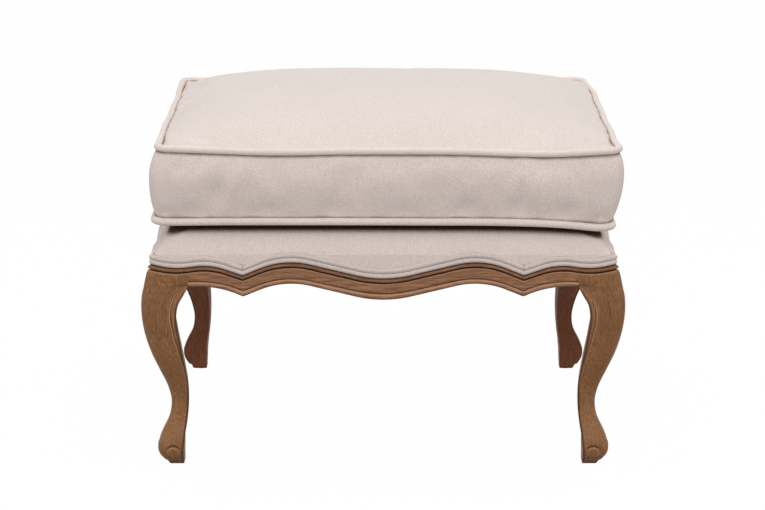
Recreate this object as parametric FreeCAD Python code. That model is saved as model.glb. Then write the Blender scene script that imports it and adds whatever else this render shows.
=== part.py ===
"""A French provincial ottoman: four cabriole legs, scalloped aprons, a webbed and padded deck
trimmed with double piping, and a loose box cushion with welted edges and a zip at the back.

Millimetres. +X runs along the wide side, +Z up, and the front faces -Y.
The origin is on the floor, under the middle of the ottoman.
"""

import FreeCAD, Part
import math
import os

from FreeCAD import Vector

# Overall frame, measured over the crests of the apron mouldings
FRAME_WIDTH = 636.0
FRAME_DEPTH = 496.0
RAIL_TOP = 300.0

# Legs: square posts at the top, cabriole below
POST_WIDTH = 52.0
GLIDE_THICKNESS = 2.0
GLIDE_RADIUS = 8.0
TOE_HEIGHT = 8.0
TOE_INSET_TOP = 18.5
TOE_INSET_BOTTOM = 22.5
TOE_INNER_INSET = 40.5
TOE_RADIUS = 3.0
LEG_BEAD_WIDTH = 8.0
LEG_BEAD_CREST = 1.4
ELBOW_DROP = 1.0
KNEE_SWELL = 9.5
KNEE_RADIUS = 12.0
POST_SWELL = 2.0
POST_RADIUS = 6.0
SCROLL_RADIUS = 9.5
SCROLL_HEIGHT = 19.0
SCROLL_INSET = 26.5
SCROLL_FACE_INSET = 6.8
SCROLL_PROUD = 1.3
SCROLL_CHAMFER = 0.8
SCROLL_TILT = 15.0

# Stations of the cabriole curve from the toe up. Each gives a height above the floor, the inset of
# the outer corner from the frame's faces, the inset of the inner faces, the inset of the two outer
# faces at their inner edges, and the radius of the outer corner.
LEG_STATIONS = (
    (TOE_HEIGHT, 12.0, TOE_INNER_INSET, 12.0, 9.0),
    (24.0, 5.0, 40.8, 5.0, 11.0),
    (44.0, 9.8, 43.0, 9.8, 10.5),
    (66.0, 20.2, 46.3, 20.2, 8.5),
    (88.0, 23.8, 48.2, 23.8, 8.0),
    (112.0, 19.6, 47.8, 19.6, 9.0),
    (138.0, 9.6, 45.4, 9.6, 12.0),
    (166.0, -1.0, 42.8, 0.0, 15.0),
    (196.0, -8.8, 39.8, -6.0, 17.0),
    (222.0, -12.0, 37.8, -7.5, 17.0),
    (238.0, -12.0, 41.0, -5.6, 16.0),
    (250.0, -10.8, 47.5, -2.2, 14.0),
)

# Aprons
APRON_THICKNESS = 26.0
REBATE_DEPTH = 8.0
BAND_DEPTH = 1.5
TOP_BEAD = 7.0
BOTTOM_BEAD = 7.5
HUMP_HEIGHT = 262.0
CUSP_HEIGHT = 248.0
PEAK_HEIGHT = 271.6
DROP_HEIGHT = 238.8
SHOW_WOOD = 29.0
CUSP_RADIUS = 5.0
CORNER_LINE_HEIGHT = 293.5
POST_DIP_INSET = 34.0
POST_DIP_HEIGHT = 285.5
POST_DIP_RADIUS = 105.0
TOP_HUMP_HEIGHT = 292.5

# The scallop's corners, as distances in from the frame's end faces, and the radii that round them
FRONT_SCALLOP = {
    "lower_hump": 98.0, "lower_hump_radius": 130.0,
    "upper_hump": 82.0, "upper_hump_radius": 90.0,
    "cusp": 127.0,
    "peak": 184.0, "peak_radius": 110.0,
    "drop_radius": 160.0,
}
SIDE_SCALLOP = {
    "lower_hump": 86.0, "lower_hump_radius": 60.0,
    "upper_hump": 74.0, "upper_hump_radius": 60.0,
    "cusp": 107.0,
    "peak": 149.0, "peak_radius": 80.0,
    "drop_radius": 118.0,
}

# Joinery
DOWEL_RADIUS = 4.0
DOWEL_LENGTH = 38.0
DOWEL_INSET = 17.0
DOWEL_HEIGHTS = (271.0, 290.0)
HOLE_CLEARANCE = 0.05
BORE_END_GAP = 1.0
BLOCK_LEG = 60.0
BLOCK_TOP_GAP = 1.0
SCREW_RADIUS = 2.0
SCREW_LENGTH = 32.0
SCREW_HEAD_RADIUS = 4.2
SCREW_HEAD_HEIGHT = 2.6
SCREW_POCKET_RADIUS = 5.0
SCREW_SEAT = 14.0
SCREW_ALONG = 26.0
LEG_SCREW_LENGTH = 40.0
SCREW_TIP_RADIUS = 0.4
SCREW_POINT = 4.0
SCREW_SLOT_WIDTH = 1.0
SCREW_SLOT_DEPTH = 0.9

# Dust cover under the seat
DUST_COVER_HEIGHT = 269.4
DUST_COVER_THICKNESS = 0.8
DUST_COVER_HEM = 12.0
STAPLE_SPAN = 10.0
STAPLE_WIRE = 0.8
STAPLE_LEG = 7.0
HEM_STAPLE_RISE = 7.0
HEM_STAPLES_LONG = 6
HEM_STAPLES_SHORT = 4

# Webbing and hessian under the deck
STRAP_WIDTH = 50.0
STRAP_THICKNESS = 1.5
STRAP_LAP = 14.0
STRAP_LIFT = 1.8
STRAP_RAMP = 9.0
STRAPS_LENGTHWISE = 5
STRAPS_CROSSWISE = 7
STRAP_PITCH = 78.0
HESSIAN_THICKNESS = 1.0
HESSIAN_INSET = 2.0
LAYER_GAP = 0.3

# Deck. Each station gives a height and the inset of the covered outline from the frame's faces.
DECK_BASE = 262.0
DECK_SHOULDER = 306.0
DECK_TOP = 352.0
DECK_STATIONS = (
    (DECK_BASE, 2.0),
    (DECK_SHOULDER, 2.0),
    (313.0, 3.8),
    (321.0, 7.2),
    (329.0, 11.5),
    (337.0, 17.0),
    (343.0, 23.0),
    (348.0, 31.0),
    (351.0, 40.0),
    (DECK_TOP, 52.0),
)
DECK_CORNER_RADIUS = 10.0
COVER_THICKNESS = 1.8
DECK_WADDING = 6.0

# Double piping that hides the staples of the deck cover
PIPING_RADIUS = 3.5
PIPING_BACK_INSET = 6.2
PIPING_CREST_INSET = 0.0
PIPING_SHOULDER_INSET = 3.15
PIPING_SEAT = 0.25

# Loose cushion, whose welts lie a little inside the frame's faces
CUSHION_INSET = 3.0
CUSHION_WIDTH = FRAME_WIDTH - 2 * CUSHION_INSET
CUSHION_DEPTH = FRAME_DEPTH - 2 * CUSHION_INSET
CUSHION_REST_GAP = 0.4
BOXING_HEIGHT = 96.6
BOXING_BULGE = 4.5
BOXING_LEVELS = (0.0, 0.09, 0.24, 0.42, 0.58, 0.76, 0.91, 1.0)
CROWN_HEIGHT = 47.0
CROWN_POWER = 4.2
CROWN_ROUNDING = 0.25
CROWN_ROUNDEST = 0.85
CROWN_LEVELS = (0.08, 0.22, 0.38, 0.54, 0.68, 0.8, 0.89, 0.95, 0.985)
SEAM_INSET = 1.0
CUSHION_CORNER_RADIUS = 16.0
CROWN_CORNER_RADIUS = 95.0
WELT_RADIUS = 5.0
WELT_CORD_RADIUS = 3.2
WELT_CORD_GAP = 0.2
CUSHION_WADDING = 8.0

# Zip across the back of the cushion
ZIP_LEVEL = BOXING_LEVELS[3]
ZIP_END_INSET = 45.0
ZIP_LENGTH = CUSHION_WIDTH - 2 * ZIP_END_INSET
ZIP_OPENING = 8.0
ZIP_COIL_WIDTH = 5.0
ZIP_COIL_THICKNESS = 1.6
ZIP_TAPE_WIDTH = 28.0
ZIP_TAPE_THICKNESS = 0.8
SLIDER_LENGTH = 12.0
SLIDER_WIDTH = 9.5
SLIDER_PLATE = 1.6
SLIDER_GAP = 0.3
SLIDER_FLANGE = 0.8
BRIDGE_RADIUS = 0.7
BRIDGE_RISE = 2.6
PULL_LENGTH = 24.0
PULL_WIDTH = 6.0
PULL_THICKNESS = 1.4
PULL_EYE = 0.5
PULL_RIM = 0.8

HALF_WIDTH = FRAME_WIDTH / 2
HALF_DEPTH = FRAME_DEPTH / 2
UP = Vector(0, 0, 1)
TINY = 0.01
REACH = 40.0
OVERHEAD = RAIL_TOP + REACH


def save(name, shape):
    """Writes one sub-part as parts/NAME.step."""
    shape.exportStep(os.path.join("parts", name + ".step"))


def join(shapes):
    """One solid, or one group of solids, from shapes that touch or overlap."""
    whole = shapes[0]
    if len(shapes) > 1:
        whole = whole.fuse(shapes[1:])
    return whole.removeSplitter()


def group(shapes):
    """Separate solids kept together under one name."""
    return Part.makeCompound(shapes)


def box(low, high):
    """A box between two corners given as (x, y, z)."""
    size = [b - a for a, b in zip(low, high)]
    return Part.makeBox(size[0], size[1], size[2], Vector(*low))


def mirrored(shape, flip_x, flip_y):
    """A copy of a front left piece for another corner of the frame."""
    copy = shape.copy()
    if flip_x:
        copy = copy.mirror(Vector(0, 0, 0), Vector(1, 0, 0))
    if flip_y:
        copy = copy.mirror(Vector(0, 0, 0), Vector(0, 1, 0))
    return copy


CORNERS = {
    "front_left": (False, False),
    "front_right": (True, False),
    "back_left": (False, True),
    "back_right": (True, True),
}


def rounded_path(points):
    """Edges of a line in the XZ plane through corners given as (x, z, radius), rounded by tangent arcs."""
    edges = []
    here = Vector(points[0][0], 0, points[0][1])
    for (x0, z0, _), (x1, z1, radius), (x2, z2, _) in zip(points, points[1:], points[2:]):
        corner = Vector(x1, 0, z1)
        back = (Vector(x0, 0, z0) - corner).normalize()
        ahead = (Vector(x2, 0, z2) - corner).normalize()
        half_turn = (math.pi - back.getAngle(ahead)) / 2
        cut = radius * math.tan(half_turn)
        start = corner + back * cut
        end = corner + ahead * cut
        inward = (back + ahead).normalize()
        middle = corner + inward * (radius / math.cos(half_turn) - radius)
        if (start - here).Length > TINY:
            edges.append(Part.LineSegment(here, start).toShape())
        edges.append(Part.Arc(start, middle, end).toShape())
        here = end
    last = Vector(points[-1][0], 0, points[-1][1])
    edges.append(Part.LineSegment(here, last).toShape())
    return edges


def both_halves(half_points):
    """Corners of a whole line from those of its left half, which ends on the centre line."""
    return half_points + [(-x, z, r) for x, z, r in half_points[-2::-1]]


def lower_line(half, scallop, shift=0.0):
    """The apron's lower edge between its two joints, raised by shift."""
    points = [
        (-half + POST_WIDTH, HUMP_HEIGHT + shift, 0),
        (-half + scallop["lower_hump"], HUMP_HEIGHT + shift, scallop["lower_hump_radius"]),
        (-half + scallop["cusp"], CUSP_HEIGHT + shift, CUSP_RADIUS),
        (-half + scallop["peak"], PEAK_HEIGHT + shift, scallop["peak_radius"]),
        (0.0, DROP_HEIGHT + shift, scallop["drop_radius"]),
    ]
    return rounded_path(both_halves(points))


def upper_line(half, scallop, shift=0.0, past=0.0):
    """The top edge of the visible wood from corner to corner of the frame, raised by shift."""
    slope = (CORNER_LINE_HEIGHT - POST_DIP_HEIGHT) / POST_DIP_INSET
    points = [
        (-half - past, CORNER_LINE_HEIGHT + past * slope + shift, 0),
        (-half + POST_DIP_INSET, POST_DIP_HEIGHT + shift, POST_DIP_RADIUS),
        (-half + scallop["upper_hump"], TOP_HUMP_HEIGHT + shift, scallop["upper_hump_radius"]),
        (-half + scallop["cusp"], CUSP_HEIGHT + SHOW_WOOD + shift, CUSP_RADIUS),
        (-half + scallop["peak"], PEAK_HEIGHT + SHOW_WOOD + shift, scallop["peak_radius"]),
        (0.0, DROP_HEIGHT + SHOW_WOOD + shift, scallop["drop_radius"]),
    ]
    return rounded_path(both_halves(points))


def ends_of(edges):
    """First and last point of a chain of edges that runs towards +X."""
    return edges[0].firstVertex().Point, edges[-1].lastVertex().Point


def face_between(low_edges, high_edges):
    """The face between two chains of edges, both in the XZ plane."""
    low_start, low_end = ends_of(low_edges)
    high_start, high_end = ends_of(high_edges)
    closing = [
        Part.LineSegment(low_end, high_end).toShape(),
        Part.LineSegment(high_start, low_start).toShape(),
    ]
    return Part.Face(Part.Wire(Part.__sortEdges__(low_edges + high_edges + closing)))


def level(x_low, x_high, height):
    """One straight level edge."""
    return [Part.LineSegment(Vector(x_low, 0, height), Vector(x_high, 0, height)).toShape()]


def turned_to_side(shape):
    """Turns a shape made for the front to the left side, front to back."""
    copy = shape.copy()
    copy.rotate(Vector(0, 0, 0), UP, -90)
    return copy


def slab(face, half_away, outer_inset, inner_inset):
    """A face of the XZ plane as a slab on the front, between two insets from the frame's face."""
    solid = face.extrude(Vector(0, inner_inset - outer_inset, 0))
    solid.translate(Vector(0, outer_inset - half_away, 0))
    return solid


def around(make_face, outer_inset, inner_inset):
    """Slabs on all four sides, joined. make_face takes a half length and a scallop."""
    front = slab(make_face(HALF_WIDTH, FRONT_SCALLOP), HALF_DEPTH, outer_inset, inner_inset)
    side = turned_to_side(slab(make_face(HALF_DEPTH, SIDE_SCALLOP), HALF_WIDTH, outer_inset, inner_inset))
    return join([front, mirrored(front, False, True), side, mirrored(side, True, False)])


def above_upper_line(shift, top):
    """A face function: everything from the upper line, raised by shift, up to a level top."""

    def make(half, scallop):
        line = upper_line(half, scallop, shift, REACH)
        return face_between(line, level(-half - REACH, half + REACH, top))

    return make


def between_upper_lines(low_shift, high_shift):
    """A face function: the strip between two raised copies of the upper line."""

    def make(half, scallop):
        low = upper_line(half, scallop, low_shift, REACH)
        return face_between(low, upper_line(half, scallop, high_shift, REACH))

    return make


def rounded_rectangle(half_x, half_y, radius, height):
    """A level wire of four lines and four arcs."""
    inner_x, inner_y = half_x - radius, half_y - radius
    slant = radius * math.sqrt(0.5)
    edges = []
    centres = ((inner_x, inner_y), (-inner_x, inner_y), (-inner_x, -inner_y), (inner_x, -inner_y))
    for turn, (cx, cy) in enumerate(centres):
        angle = math.radians(90 * turn)
        along = Vector(math.cos(angle), math.sin(angle), 0)
        across = Vector(-math.sin(angle), math.cos(angle), 0)
        centre = Vector(cx, cy, height)
        start, end = centre + along * radius, centre + across * radius
        edges.append(Part.Arc(start, centre + (along + across) * slant, end).toShape())
    lines = [
        Part.LineSegment(a.lastVertex().Point, b.firstVertex().Point).toShape()
        for a, b in zip(edges, edges[1:] + edges[:1])
    ]
    ordered = [edge for pair in zip(edges, lines) for edge in pair]
    return Part.Wire(ordered)


def prism(inset, low, high):
    """A level block with the frame's outline taken in by inset."""
    wire = rounded_rectangle(HALF_WIDTH - inset, HALF_DEPTH - inset, DECK_CORNER_RADIUS, low)
    return Part.Face(wire).extrude(Vector(0, 0, high - low))


# Legs

def leg_section(height, corner, inner, face, radius):
    """A level cut through a leg at the front left corner, in insets from the frame's faces."""

    def at(p, q):
        return Vector(p - HALF_WIDTH, q - HALF_DEPTH, height)

    bead, crest = inner - LEG_BEAD_WIDTH, face - LEG_BEAD_CREST
    start, turn = corner + radius, corner + radius * (1 - math.sqrt(0.5))
    return Part.Wire([
        Part.LineSegment(at(inner, inner), at(inner, face)).toShape(),
        Part.Arc(at(inner, face), at((inner + bead) / 2, crest), at(bead, face)).toShape(),
        Part.LineSegment(at(bead, face), at(start, corner)).toShape(),
        Part.Arc(at(start, corner), at(turn, turn), at(corner, start)).toShape(),
        Part.LineSegment(at(corner, start), at(face, bead)).toShape(),
        Part.Arc(at(face, bead), at(crest, (inner + bead) / 2), at(face, inner)).toShape(),
        Part.LineSegment(at(face, inner), at(inner, inner)).toShape(),
    ])


def plain_section(height, corner, inner, face, radius):
    """A level cut with no beads, for the post and the toe."""

    def at(p, q):
        return Vector(p - HALF_WIDTH, q - HALF_DEPTH, height)

    start, turn = corner + radius, corner + radius * (1 - math.sqrt(0.5))
    return Part.Wire([
        Part.LineSegment(at(inner, inner), at(inner, face)).toShape(),
        Part.LineSegment(at(inner, face), at(start, corner)).toShape(),
        Part.Arc(at(start, corner), at(turn, turn), at(corner, start)).toShape(),
        Part.LineSegment(at(corner, start), at(face, inner)).toShape(),
        Part.LineSegment(at(face, inner), at(inner, inner)).toShape(),
    ])


def knee_top(lower_by):
    """The post with its swelling corner, with the outer faces taken back by lower_by from the crests."""
    low = plain_section(HUMP_HEIGHT, lower_by - KNEE_SWELL, POST_WIDTH, lower_by, KNEE_RADIUS)
    high = plain_section(RAIL_TOP, lower_by - POST_SWELL, POST_WIDTH, lower_by, POST_RADIUS)
    return Part.makeLoft([low, high], True, True)


def cabriole():
    """The curved leg below the post, with a bead along each inner edge."""
    joint = (HUMP_HEIGHT, BAND_DEPTH - KNEE_SWELL, POST_WIDTH, BAND_DEPTH, KNEE_RADIUS)
    sections = [leg_section(*station) for station in LEG_STATIONS + (joint,)]
    return Part.makeLoft(sections, True, False)


def toe():
    """The small tapered block that the scroll foot stands on."""
    low = plain_section(GLIDE_THICKNESS, TOE_INSET_BOTTOM, TOE_INNER_INSET, TOE_INSET_BOTTOM, TOE_RADIUS)
    high = plain_section(TOE_HEIGHT, TOE_INSET_TOP, TOE_INNER_INSET, TOE_INSET_TOP, TOE_RADIUS)
    return Part.makeLoft([low, high], True, True)


def scroll_discs():
    """The two carved discs on the outer faces of a foot."""
    tilt = math.radians(SCROLL_TILT)
    discs = []
    for across in (False, True):
        outward = Vector(0, -math.cos(tilt), -math.sin(tilt))
        place = Vector(SCROLL_INSET, SCROLL_FACE_INSET, 0)
        if across:
            outward = Vector(outward.y, outward.x, outward.z)
            place = Vector(place.y, place.x, 0)
        centre = place + Vector(-HALF_WIDTH, -HALF_DEPTH, SCROLL_HEIGHT)
        start = centre - outward * SCROLL_RADIUS
        disc = Part.makeCylinder(SCROLL_RADIUS, SCROLL_RADIUS + SCROLL_PROUD, start, outward)
        rim = [e for e in disc.Edges if (e.CenterOfMass - centre - outward * SCROLL_PROUD).Length < TINY]
        discs.append(disc.makeChamfer(SCROLL_CHAMFER, rim))
    return discs


def bead_elbows():
    """The two blocks where the leg's beads turn into those of the aprons."""
    inner, outer = POST_WIDTH, POST_WIDTH - LEG_BEAD_WIDTH
    low, high = HUMP_HEIGHT - ELBOW_DROP, HUMP_HEIGHT + BOTTOM_BEAD
    return [
        box((outer - HALF_WIDTH, -HALF_DEPTH, low), (inner - HALF_WIDTH, REBATE_DEPTH - HALF_DEPTH, high)),
        box((-HALF_WIDTH, outer - HALF_DEPTH, low), (REBATE_DEPTH - HALF_WIDTH, inner - HALF_DEPTH, high)),
    ]


def front_left_leg():
    """One leg, whole: post, cabriole, foot, mouldings, rebate and bored joints."""
    crest = knee_top(0.0).common(around(between_upper_lines(-TOP_BEAD, 0.0), -REACH, POST_WIDTH))
    leg = join([cabriole(), knee_top(BAND_DEPTH), crest, toe()] + bead_elbows() + scroll_discs())
    rebate = around(above_upper_line(0.0, OVERHEAD), -REACH, POST_WIDTH).cut(prism(REBATE_DEPTH, 0.0, OVERHEAD))
    return leg.cut(rebate).cut(group(dowel_bores() + [leg_screw_bore()]))


# Joinery

def dowel_places():
    """Centres and directions of the dowels at the front left leg."""
    places = []
    for height in DOWEL_HEIGHTS:
        places.append((Vector(POST_WIDTH - HALF_WIDTH, DOWEL_INSET - HALF_DEPTH, height), Vector(1, 0, 0)))
        places.append((Vector(DOWEL_INSET - HALF_WIDTH, POST_WIDTH - HALF_DEPTH, height), Vector(0, 1, 0)))
    return places


def dowel_bores():
    """What is bored out of the leg and the aprons for the dowels of one corner."""
    length = DOWEL_LENGTH + 2 * BORE_END_GAP
    return [
        Part.makeCylinder(DOWEL_RADIUS + HOLE_CLEARANCE, length, centre - way * (length / 2), way)
        for centre, way in dowel_places()
    ]


def dowels():
    """All sixteen dowels."""
    pegs = [
        Part.makeCylinder(DOWEL_RADIUS, DOWEL_LENGTH, centre - way * (DOWEL_LENGTH / 2), way)
        for centre, way in dowel_places()
    ]
    return group([mirrored(peg, *flips) for flips in CORNERS.values() for peg in pegs])


def block_middle():
    """The height of the middle of the corner blocks."""
    return (block_bottom() + RAIL_TOP - BLOCK_TOP_GAP) / 2


def block_bottom():
    """The underside of the corner blocks, just above the dust cover."""
    return DUST_COVER_HEIGHT + DUST_COVER_THICKNESS + LAYER_GAP


def apron_screws():
    """Seats and directions of the two screws that hold a front left corner block to the aprons."""
    away = POST_WIDTH + SCREW_ALONG
    depth = APRON_THICKNESS + SCREW_SEAT
    return [
        (Vector(away - HALF_WIDTH, depth - HALF_DEPTH, block_middle()), Vector(0, -1, 0)),
        (Vector(depth - HALF_WIDTH, away - HALF_DEPTH, block_middle()), Vector(-1, 0, 0)),
    ]


def leg_screw():
    """Seat and direction of the diagonal screw through a corner block into the post."""
    way = Vector(-1, -1, 0).normalize()
    middle = (POST_WIDTH + BLOCK_LEG + APRON_THICKNESS) / 2
    start = Vector(middle - HALF_WIDTH, middle - HALF_DEPTH, block_middle())
    return start + way * SCREW_SEAT, way


def screw_bore(seat, way, length):
    """The hole for a screw, a little deeper than the screw is long."""
    return Part.makeCylinder(SCREW_RADIUS + HOLE_CLEARANCE, length + BORE_END_GAP, seat, way)


def leg_screw_bore():
    """The hole for the diagonal screw."""
    return screw_bore(*leg_screw(), LEG_SCREW_LENGTH)


def apron_screw_bores():
    """The holes for the two screws into the aprons."""
    return [screw_bore(seat, way, SCREW_LENGTH) for seat, way in apron_screws()]


def front_left_block():
    """A corner block: it braces two aprons and bears on the post's inner corner."""
    near, inner = POST_WIDTH, APRON_THICKNESS
    far = POST_WIDTH + BLOCK_LEG
    outline = [(near, inner), (far, inner), (inner, far), (inner, near), (near, near)]
    points = [Vector(p - HALF_WIDTH, q - HALF_DEPTH, block_bottom()) for p, q in outline]
    face = Part.Face(Part.makePolygon(points + points[:1]))
    block = face.extrude(Vector(0, 0, RAIL_TOP - BLOCK_TOP_GAP - block_bottom()))
    pockets = [
        Part.makeCylinder(SCREW_POCKET_RADIUS, BLOCK_LEG + SCREW_SEAT, seat, way * -1)
        for seat, way in apron_screws() + [leg_screw()]
    ]
    return block.cut(group(apron_screw_bores() + [leg_screw_bore()])).cut(join(pockets))


def one_screw(seat, way, length):
    """A pan head screw whose head sits on its seat."""
    top = seat - way * SCREW_HEAD_HEIGHT
    head = Part.makeCylinder(SCREW_HEAD_RADIUS, SCREW_HEAD_HEIGHT, top, way)
    shank_length = length - SCREW_POINT
    shank = Part.makeCylinder(SCREW_RADIUS, shank_length, seat, way)
    point = Part.makeCone(SCREW_RADIUS, SCREW_TIP_RADIUS, SCREW_POINT, seat + way * shank_length, way)
    slot = box(
        (-SCREW_HEAD_RADIUS, -SCREW_SLOT_WIDTH / 2, -SCREW_SLOT_DEPTH),
        (SCREW_HEAD_RADIUS, SCREW_SLOT_WIDTH / 2, SCREW_SLOT_DEPTH))
    slot.Placement = FreeCAD.Placement(top, FreeCAD.Rotation(UP, way))
    return join([head, shank, point]).cut(slot)


def block_screws():
    """Every screw of the four corner blocks."""
    screws = [one_screw(seat, way, SCREW_LENGTH) for seat, way in apron_screws()]
    screws.append(one_screw(*leg_screw(), LEG_SCREW_LENGTH))
    return group([mirrored(screw, *flips) for flips in CORNERS.values() for screw in screws])


# Aprons

def apron(half, scallop, half_away):
    """The front apron of a frame: scalloped, moulded, and rebated for the cover above its wood."""
    end = half - POST_WIDTH
    board = slab(
        face_between(lower_line(half, scallop), level(-end, end, RAIL_TOP)),
        half_away, 0.0, APRON_THICKNESS)
    rebate = slab(above_upper_line(0.0, OVERHEAD)(half, scallop), half_away, -REACH, REBATE_DEPTH)
    ends = box((-end, -half_away - REACH, 0), (end, 0, OVERHEAD))
    band_top = upper_line(half, scallop, -TOP_BEAD, REACH)
    low = level(-half - REACH, half + REACH, 0)
    band_low = slab(
        face_between(lower_line(half, scallop, BOTTOM_BEAD), level(-end, end, OVERHEAD)),
        half_away, -REACH, BAND_DEPTH)
    band = slab(face_between(low, band_top), half_away, -REACH, BAND_DEPTH).common(band_low)
    return board.cut(rebate.common(ends)).cut(band)


def side_apron():
    """The left apron."""
    return turned_to_side(apron(HALF_DEPTH, SIDE_SCALLOP, HALF_WIDTH))


def bored(board):
    """An apron with the bores of every corner taken out."""
    bores = dowel_bores() + apron_screw_bores()
    return board.cut(group([mirrored(bore, *flips) for flips in CORNERS.values() for bore in bores]))


# Webbing

def spread(count, pitch):
    """Evenly spaced places about the middle."""
    return [(i - (count - 1) / 2) * pitch for i in range(count)]


def strap_centres(count):
    """Places of the straps that run one way."""
    return spread(count, STRAP_PITCH)


def strap(reach, place, crossings, over_first):
    """A strap along X at a place in Y that passes over every second strap it crosses."""
    rise = STRAP_WIDTH / 2 + LAYER_GAP
    profile = [(-reach, 0.0)]
    for index, crossing in enumerate(crossings):
        if (index % 2 == 0) == over_first:
            profile += [
                (crossing - rise - STRAP_RAMP, 0.0), (crossing - rise, STRAP_LIFT),
                (crossing + rise, STRAP_LIFT), (crossing + rise + STRAP_RAMP, 0.0),
            ]
    profile.append((reach, 0.0))
    low = [Vector(x, place - STRAP_WIDTH / 2, RAIL_TOP + z) for x, z in profile]
    high = [point + Vector(0, 0, STRAP_THICKNESS) for point in reversed(low)]
    outline = low + high
    return Part.Face(Part.makePolygon(outline + outline[:1])).extrude(Vector(0, STRAP_WIDTH, 0))


def webbing():
    """Lengthwise and crosswise straps, interlaced, and keyed by name."""
    straps = {}
    rows, columns = strap_centres(STRAPS_LENGTHWISE), strap_centres(STRAPS_CROSSWISE)
    lap = APRON_THICKNESS - STRAP_LAP
    for index, place in enumerate(rows):
        straps[f"webbing_lengthwise_{index + 1}"] = strap(
            HALF_WIDTH - lap, place, columns, index % 2 == 0)
    for index, place in enumerate(columns):
        piece = turned_to_side(strap(HALF_DEPTH - lap, -place, rows, index % 2 == 1))
        straps[f"webbing_crosswise_{index + 1}"] = mirrored(piece, False, True)
    return straps


def staple(place, along, into):
    """A staple with its crown on a surface at place, lying along one way and driven into another."""
    side = along.cross(into)
    half, thin = STAPLE_SPAN / 2, STAPLE_WIRE / 2

    def bar(low, high):
        corners = [place + along * a + side * s + into * d for a, s, d in (low, high)]
        least = [min(a, b) for a, b in zip(*corners)]
        most = [max(a, b) for a, b in zip(*corners)]
        return box(least, most)

    crown = bar((-half, -thin, -STAPLE_WIRE), (half, thin, 0.0))
    legs = [
        bar((-half, -thin, 0.0), (-half + STAPLE_WIRE, thin, STAPLE_LEG)),
        bar((half - STAPLE_WIRE, -thin, 0.0), (half, thin, STAPLE_LEG)),
    ]
    return join([crown] + legs)


def webbing_staples():
    """Two staples at each end of each strap."""
    down = Vector(0, 0, -1)
    height = RAIL_TOP + STRAP_THICKNESS
    inset = APRON_THICKNESS - STRAP_LAP / 2
    staples = []
    for place in strap_centres(STRAPS_LENGTHWISE):
        for end in (-1, 1):
            for shift in (-1, 1):
                spot = Vector(end * (HALF_WIDTH - inset), place + shift * STRAP_WIDTH / 4, height)
                staples.append(staple(spot, Vector(0, 1, 0), down))
    for place in strap_centres(STRAPS_CROSSWISE):
        for end in (-1, 1):
            for shift in (-1, 1):
                spot = Vector(place + shift * STRAP_WIDTH / 4, end * (HALF_DEPTH - inset), height)
                staples.append(staple(spot, Vector(1, 0, 0), down))
    return group(staples)


# Dust cover

def hem_half(size):
    """Half the length of the dust cover's turned-up hem, which fits between two corner blocks."""
    return size / 2 - POST_WIDTH - BLOCK_LEG - LAYER_GAP


def hem_places(count, size):
    """Places of the staples along a hem."""
    return spread(count, 2 * hem_half(size) / count)


def dust_cover():
    """A thin sheet under the seat, turned up against the aprons between the corner blocks."""
    inner_x, inner_y = HALF_WIDTH - APRON_THICKNESS, HALF_DEPTH - APRON_THICKNESS
    low, high = DUST_COVER_HEIGHT, DUST_COVER_HEIGHT + DUST_COVER_THICKNESS
    sheet = box((-inner_x, -inner_y, low), (inner_x, inner_y, high))
    hems = []
    for sign in (-1, 1):
        outer, inner = sign * inner_y, sign * (inner_y - DUST_COVER_THICKNESS)
        hems.append(box(
            (-hem_half(FRAME_WIDTH), min(outer, inner), low),
            (hem_half(FRAME_WIDTH), max(outer, inner), low + DUST_COVER_HEM)))
        outer, inner = sign * inner_x, sign * (inner_x - DUST_COVER_THICKNESS)
        hems.append(box(
            (min(outer, inner), -hem_half(FRAME_DEPTH), low),
            (max(outer, inner), hem_half(FRAME_DEPTH), low + DUST_COVER_HEM)))
    post = box((-HALF_WIDTH, -HALF_DEPTH, 0), (POST_WIDTH - HALF_WIDTH, POST_WIDTH - HALF_DEPTH, RAIL_TOP))
    posts = [mirrored(post, *flips) for flips in CORNERS.values()]
    return join([sheet] + hems).cut(group(posts))


def dust_cover_staples():
    """Staples through the turned-up hem into the aprons."""
    height = DUST_COVER_HEIGHT + HEM_STAPLE_RISE
    deep = APRON_THICKNESS + DUST_COVER_THICKNESS
    staples = []
    for sign in (-1, 1):
        into = Vector(0, sign, 0)
        for x in hem_places(HEM_STAPLES_LONG, FRAME_WIDTH):
            staples.append(staple(Vector(x, sign * (HALF_DEPTH - deep), height), Vector(1, 0, 0), into))
        into = Vector(sign, 0, 0)
        for y in hem_places(HEM_STAPLES_SHORT, FRAME_DEPTH):
            staples.append(staple(Vector(sign * (HALF_WIDTH - deep), y, height), Vector(0, 1, 0), into))
    return group(staples)


# Deck

def deck_form(inward):
    """The padded deck's outer form, taken in by inward, from below the rails up."""
    top = DECK_TOP - inward
    sections = []
    for height, inset in DECK_STATIONS:
        if height > DECK_SHOULDER:
            share = (height - DECK_SHOULDER) / (DECK_TOP - DECK_SHOULDER)
            height = DECK_SHOULDER + share * (top - DECK_SHOULDER)
        radius = DECK_CORNER_RADIUS + inset / 2
        total = inset + inward
        sections.append(rounded_rectangle(HALF_WIDTH - total, HALF_DEPTH - total, radius, height))
    return Part.makeLoft(sections, True, True)


def below_trim(shift):
    """Everything outside the rails that lies below the upper line raised by shift."""

    def make(half, scallop):
        low = level(-half - REACH, half + REACH, 0)
        return face_between(low, upper_line(half, scallop, shift, REACH))

    return around(make, -REACH, POST_WIDTH)


def hessian_top():
    """The level that the deck's foam stands on."""
    return RAIL_TOP + STRAP_LIFT + STRAP_THICKNESS + LAYER_GAP + HESSIAN_THICKNESS


def deck_core():
    """What the rails, webbing and hessian take up under the deck's padding."""
    return prism(REBATE_DEPTH - LAYER_GAP, 0.0, hessian_top() + LAYER_GAP)


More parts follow.
